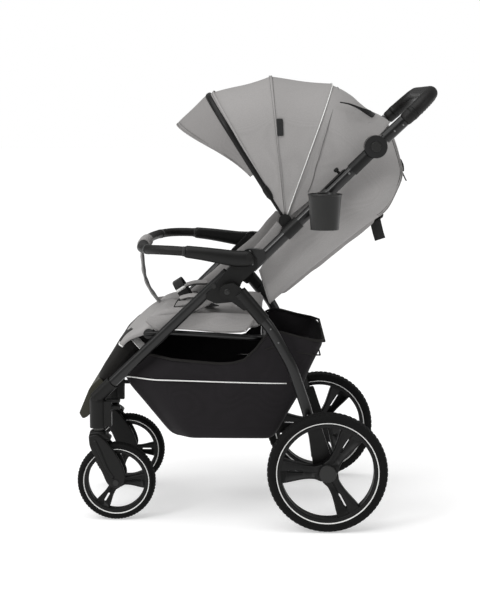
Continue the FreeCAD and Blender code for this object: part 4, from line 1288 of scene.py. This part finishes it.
FORK_OUTLINE = [(-411, 205), (-395, 209), (-380, 203), (-362, 184), (-343, 157), (-330, 130), (-325, 108),
                (-333, 90), (-351, 81), (-367, 90), (-380, 118), (-394, 150), (-408, 180)]
FORK_BRIDGE = [(-411, 196), (-409, 210), (-392, 213), (-374, 208), (-360, 197), (-368, 190), (-392, 187)]
FORK_CROWN = [(188, 0.02), (189, 15.0), (192, 19.0), (200, 20.5), (208, 20.5), (213, 19.0), (216, 16.0),
              (216.5, 7.0), (230, 7.0), (260, 7.0)]


def forks():
    """The moulded caster forks: a round crown on the stem and two swept arms."""
    for sign, name in SIDES:
        x = sign * FRONT_WHEEL[0]
        turns = [2 * math.pi * j / 40 for j in range(40)]
        rows = [[(x + r * math.cos(a), SWIVEL_Y + r * math.sin(a), z) for a in turns]
                for z, r in FORK_CROWN]
        crown = grid("fork_crown_" + name, rows, BLACK, round_rows=True)
        pieces = [crown]
        for label, low in (("outer", 19.5), ("inner", -28.5)):
            ends = sorted((x + sign * low, x + sign * (low + 9.0)))
            pieces.append(slab(f"fork_arm_{label}_{name}", FORK_OUTLINE, *ends, 3.2, BLACK))
        pieces.append(slab("fork_bridge_" + name, FORK_BRIDGE, x - 21.0, x + 21.0, 3.0, BLACK))
        rib = spline([(x + sign * 29.0, -399, 196), (x + sign * 29.0, -384, 166),
                      (x + sign * 29.0, -368, 128), (x + sign * 28.9, -352, 104)], 24)
        pieces.append(sweep("fork_rib_" + name, rib,
                            lambda t: oval(5.5 - 2.5 * t, 1.5 * math.sin(math.pi * t) + 0.1, 10),
                            BLACK, side=(0, 0.9, 0.42)))
        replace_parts(crown, "caster_fork_" + name)
        for piece in pieces:
            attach(piece, name + "_caster")


# ---------------------------------------------------------------- fasteners
LARGEST_RIVET = 5.0


def rivet(name, x, y, z, radius, body, sign=1):
    """A domed rivet or bolt head on a side face."""
    dome = [(0.0, radius), (0.8, radius), (1.6, radius * 0.8), (2.1, radius * 0.4), (2.2, 0.01),
            (0.0, 0.01)]
    profile = [(sign * a, b) for a, b in dome]
    head = lathe(name, profile, (x, y, z), SATIN if radius > LARGEST_RIVET else STEEL, 24)
    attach(head, body)


def build_rivets():
    """Rivets in the tubes and bolts in the brackets."""
    spots = [("bracket_bolt", 257.2, -30.0, 650.0, 2.4, "front_frame"),
             ("bracket_pin", 257.2, -24.0, 620.0, 2.4, "front_frame"),
             ("knuckle_rivet", 284.0, -38.0, 540.0, 2.2, "rear_frame"),
             ("knuckle_bolt", 284.4, -81.3, 559.5, 7.0, "rear_frame"),
             ("leg_rivet_a", 277.6, 18.0, 473.0, 2.0, "rear_frame"),
             ("leg_rivet_b", 274.6, 36.0, 441.0, 2.0, "rear_frame"),
             ("leg_rivet_c", 252.6, 104.0, 268.0, 2.0, "rear_frame"),
             ("tube_rivet", 250.6, 196.0, 827.0, 2.6, "upper_frame"),
             ("arm_rivet_a", 262.0, 297.0, 923.0, 2.4, "handle"),
             ("arm_rivet_b", 262.0, 316.0, 937.0, 2.4, "handle")]
    for name, x, y, z, radius, body in spots:
        for sign, side in SIDES:
            rivet(f"{name}_{side}", sign * x, y, z, radius, body, sign)


LATCH_KNOB = [(0, 3.4), (0.5, 3.4), (0.61, 6.0), (0.9, 6.0), (1.0, 4.0)]
LATCH_PLACE = (145.0, 777.7)


def latch_section(t):
    """The slider's section, thinner towards both ends."""
    end = abs(2 * t - 1) ** 4
    return oval(7.0 - 3.0 * end, 3.4 - 1.5 * end, 14)


def tube_latches():
    """The canopy latch on each upper tube: a slim slider with its thumb knob."""
    ahead = Vector((0, 0.717, 0.697))
    up = Vector((0, -0.697, 0.717))
    for sign, name in SIDES:
        start = Vector((sign * FRAME_X, *LATCH_PLACE))
        line = [start + ahead * k * 5 + up * 13.0 for k in range(15)]
        slider = sweep("latch_slider_" + name, line, latch_section, BLACK, side=(1, 0, 0))
        stem = [start + ahead * 55 + up * h for h in (12, 18, 22, 23, 28, 30)]
        knob = sweep("latch_knob_" + name, stem, lambda t: oval(along(LATCH_KNOB, t), None, 14), BLACK,
                     side=(1, 0, 0))
        for piece in (slider, knob):
            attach(piece, "upper_frame")


# ---------------------------------------------------------------- carried-over parts
NODE_MATERIALS = [
    (("front_leg", "rear_leg", "upper_tube", "seat_frame", "rear_axle", "handle_bar"), TUBE),
    (("hinge_bracket", "leg_knuckles", "caster_housings", "wheel_mounts", "brake_pedal", "handle_sockets",
      "canopy_clips", "swivel_lock", "harness_buckle", "bumper_button"), BLACK),
    (("adjust_button", "hub_cap", "cup_holder", "frame_fasteners", "front_axle"), SATIN),
    (("footrest",), OLIVE),
    (("fork_spring",), SPRING),
]


def dress_nodes():
    """Gives every carried-over part its material."""
    for node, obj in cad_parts.items():
        for starts, material in NODE_MATERIALS:
            if node.startswith(starts):
                obj.data.materials.clear()
                obj.data.materials.append(material)


# ---------------------------------------------------------------- studio
SKY_LIGHT = 0.30
FLOOR_GLOW = 0.48
FLOOR_HALF = 30
SUN_POWER, SUN_ANGLE, SUN_PLACE = 2.15, 1.3, (0.5, -0.6, 3.0)
# name, place, size and power of the soft lamps
LAMPS = [("near", (2.6, -1.9, 2.4), 0.9, 34), ("front", (0.6, -3.2, 1.6), 1.4, 12),
         ("back", (1.2, 3.0, 2.2), 1.4, 14)]
LAMP_TARGET = Vector((0, 0, 0.5))
CAMERA_PLACE = (3818.9, 0.25, 985.3)
CAMERA_PITCH, CAMERA_YAW = 0.125, 0.0148
SENSOR, LENS = 36.0, 93.9


def floor():
    """A pale floor that glows a little, as a lit studio sweep does."""
    mesh = bpy.data.meshes.new("floor")
    far = FLOOR_HALF
    mesh.from_pydata([(-far, -far, 0), (far, -far, 0), (far, far, 0), (-far, far, 0)], [], [(0, 1, 2, 3)])
    obj = bpy.data.objects.new("floor", mesh)
    scene.collection.objects.link(obj)
    pale = Surface("pale_floor", 0.75, Specular_IOR_Level=0.2)
    pale.colour(pale.noise(0.6), srgb(206), srgb(211))
    pale.shader.inputs["Emission Color"].default_value = (1.0, 1.0, 1.0, 1.0)
    pale.shader.inputs["Emission Strength"].default_value = FLOOR_GLOW
    mesh.materials.append(pale.material)


def sky():
    """White behind the stroller, and a weaker white that lights it."""
    world = bpy.data.worlds.new("studio")
    scene.world = world
    world.use_nodes = True
    nodes, links = world.node_tree.nodes, world.node_tree.links
    shell = nodes["Background"]
    shell.inputs["Color"].default_value = (1.0, 1.0, 1.0, 1.0)
    rays = nodes.new("ShaderNodeLightPath")
    strength = nodes.new("ShaderNodeMapRange")
    strength.inputs["To Min"].default_value = SKY_LIGHT
    strength.inputs["To Max"].default_value = 1.0
    links.new(rays.outputs["Is Camera Ray"], strength.inputs["Value"])
    links.new(strength.outputs["Result"], shell.inputs["Strength"])


def lights():
    """A broad overhead sun and three soft lamps."""
    sun = bpy.data.lights.new("overhead", "SUN")
    sun.energy, sun.angle = SUN_POWER, SUN_ANGLE
    lamps = [(sun, SUN_PLACE)]
    for name, place, size, power in LAMPS:
        lamp = bpy.data.lights.new(name, "AREA")
        lamp.size, lamp.energy = size, power
        lamps.append((lamp, place))
    for lamp, place in lamps:
        obj = bpy.data.objects.new(lamp.name, lamp)
        obj.location = place
        obj.rotation_euler = (LAMP_TARGET - obj.location).to_track_quat("-Z", "Y").to_euler()
        scene.collection.objects.link(obj)


def camera():
    """The camera at the stroller's left side, tilted a little down."""
    lens = bpy.data.cameras.new("camera")
    lens.sensor_width, lens.lens = SENSOR, LENS
    lens.clip_end = 100.0
    obj = bpy.data.objects.new("camera", lens)
    level = math.cos(CAMERA_PITCH)
    ahead = Vector((-level * math.cos(CAMERA_YAW), -level * math.sin(CAMERA_YAW), -math.sin(CAMERA_PITCH)))
    obj.location = at(*CAMERA_PLACE)
    obj.rotation_mode = "QUATERNION"
    obj.rotation_quaternion = ahead.to_track_quat("-Z", "Y")
    scene.collection.objects.link(obj)
    scene.camera = obj
    scene.view_settings.view_transform = "Standard"


dress_nodes()
build_canopy()
seat_back()
back_hardware()
back_pad()
seat_pad()
leg_rest_pad()
seat_flap()
seat_sides()
seat_wings()
build_harness()
basket()
bumper()
handle_grip()
build_wheels()
forks()
build_rivets()
tube_latches()
floor()
sky()
lights()
camera()
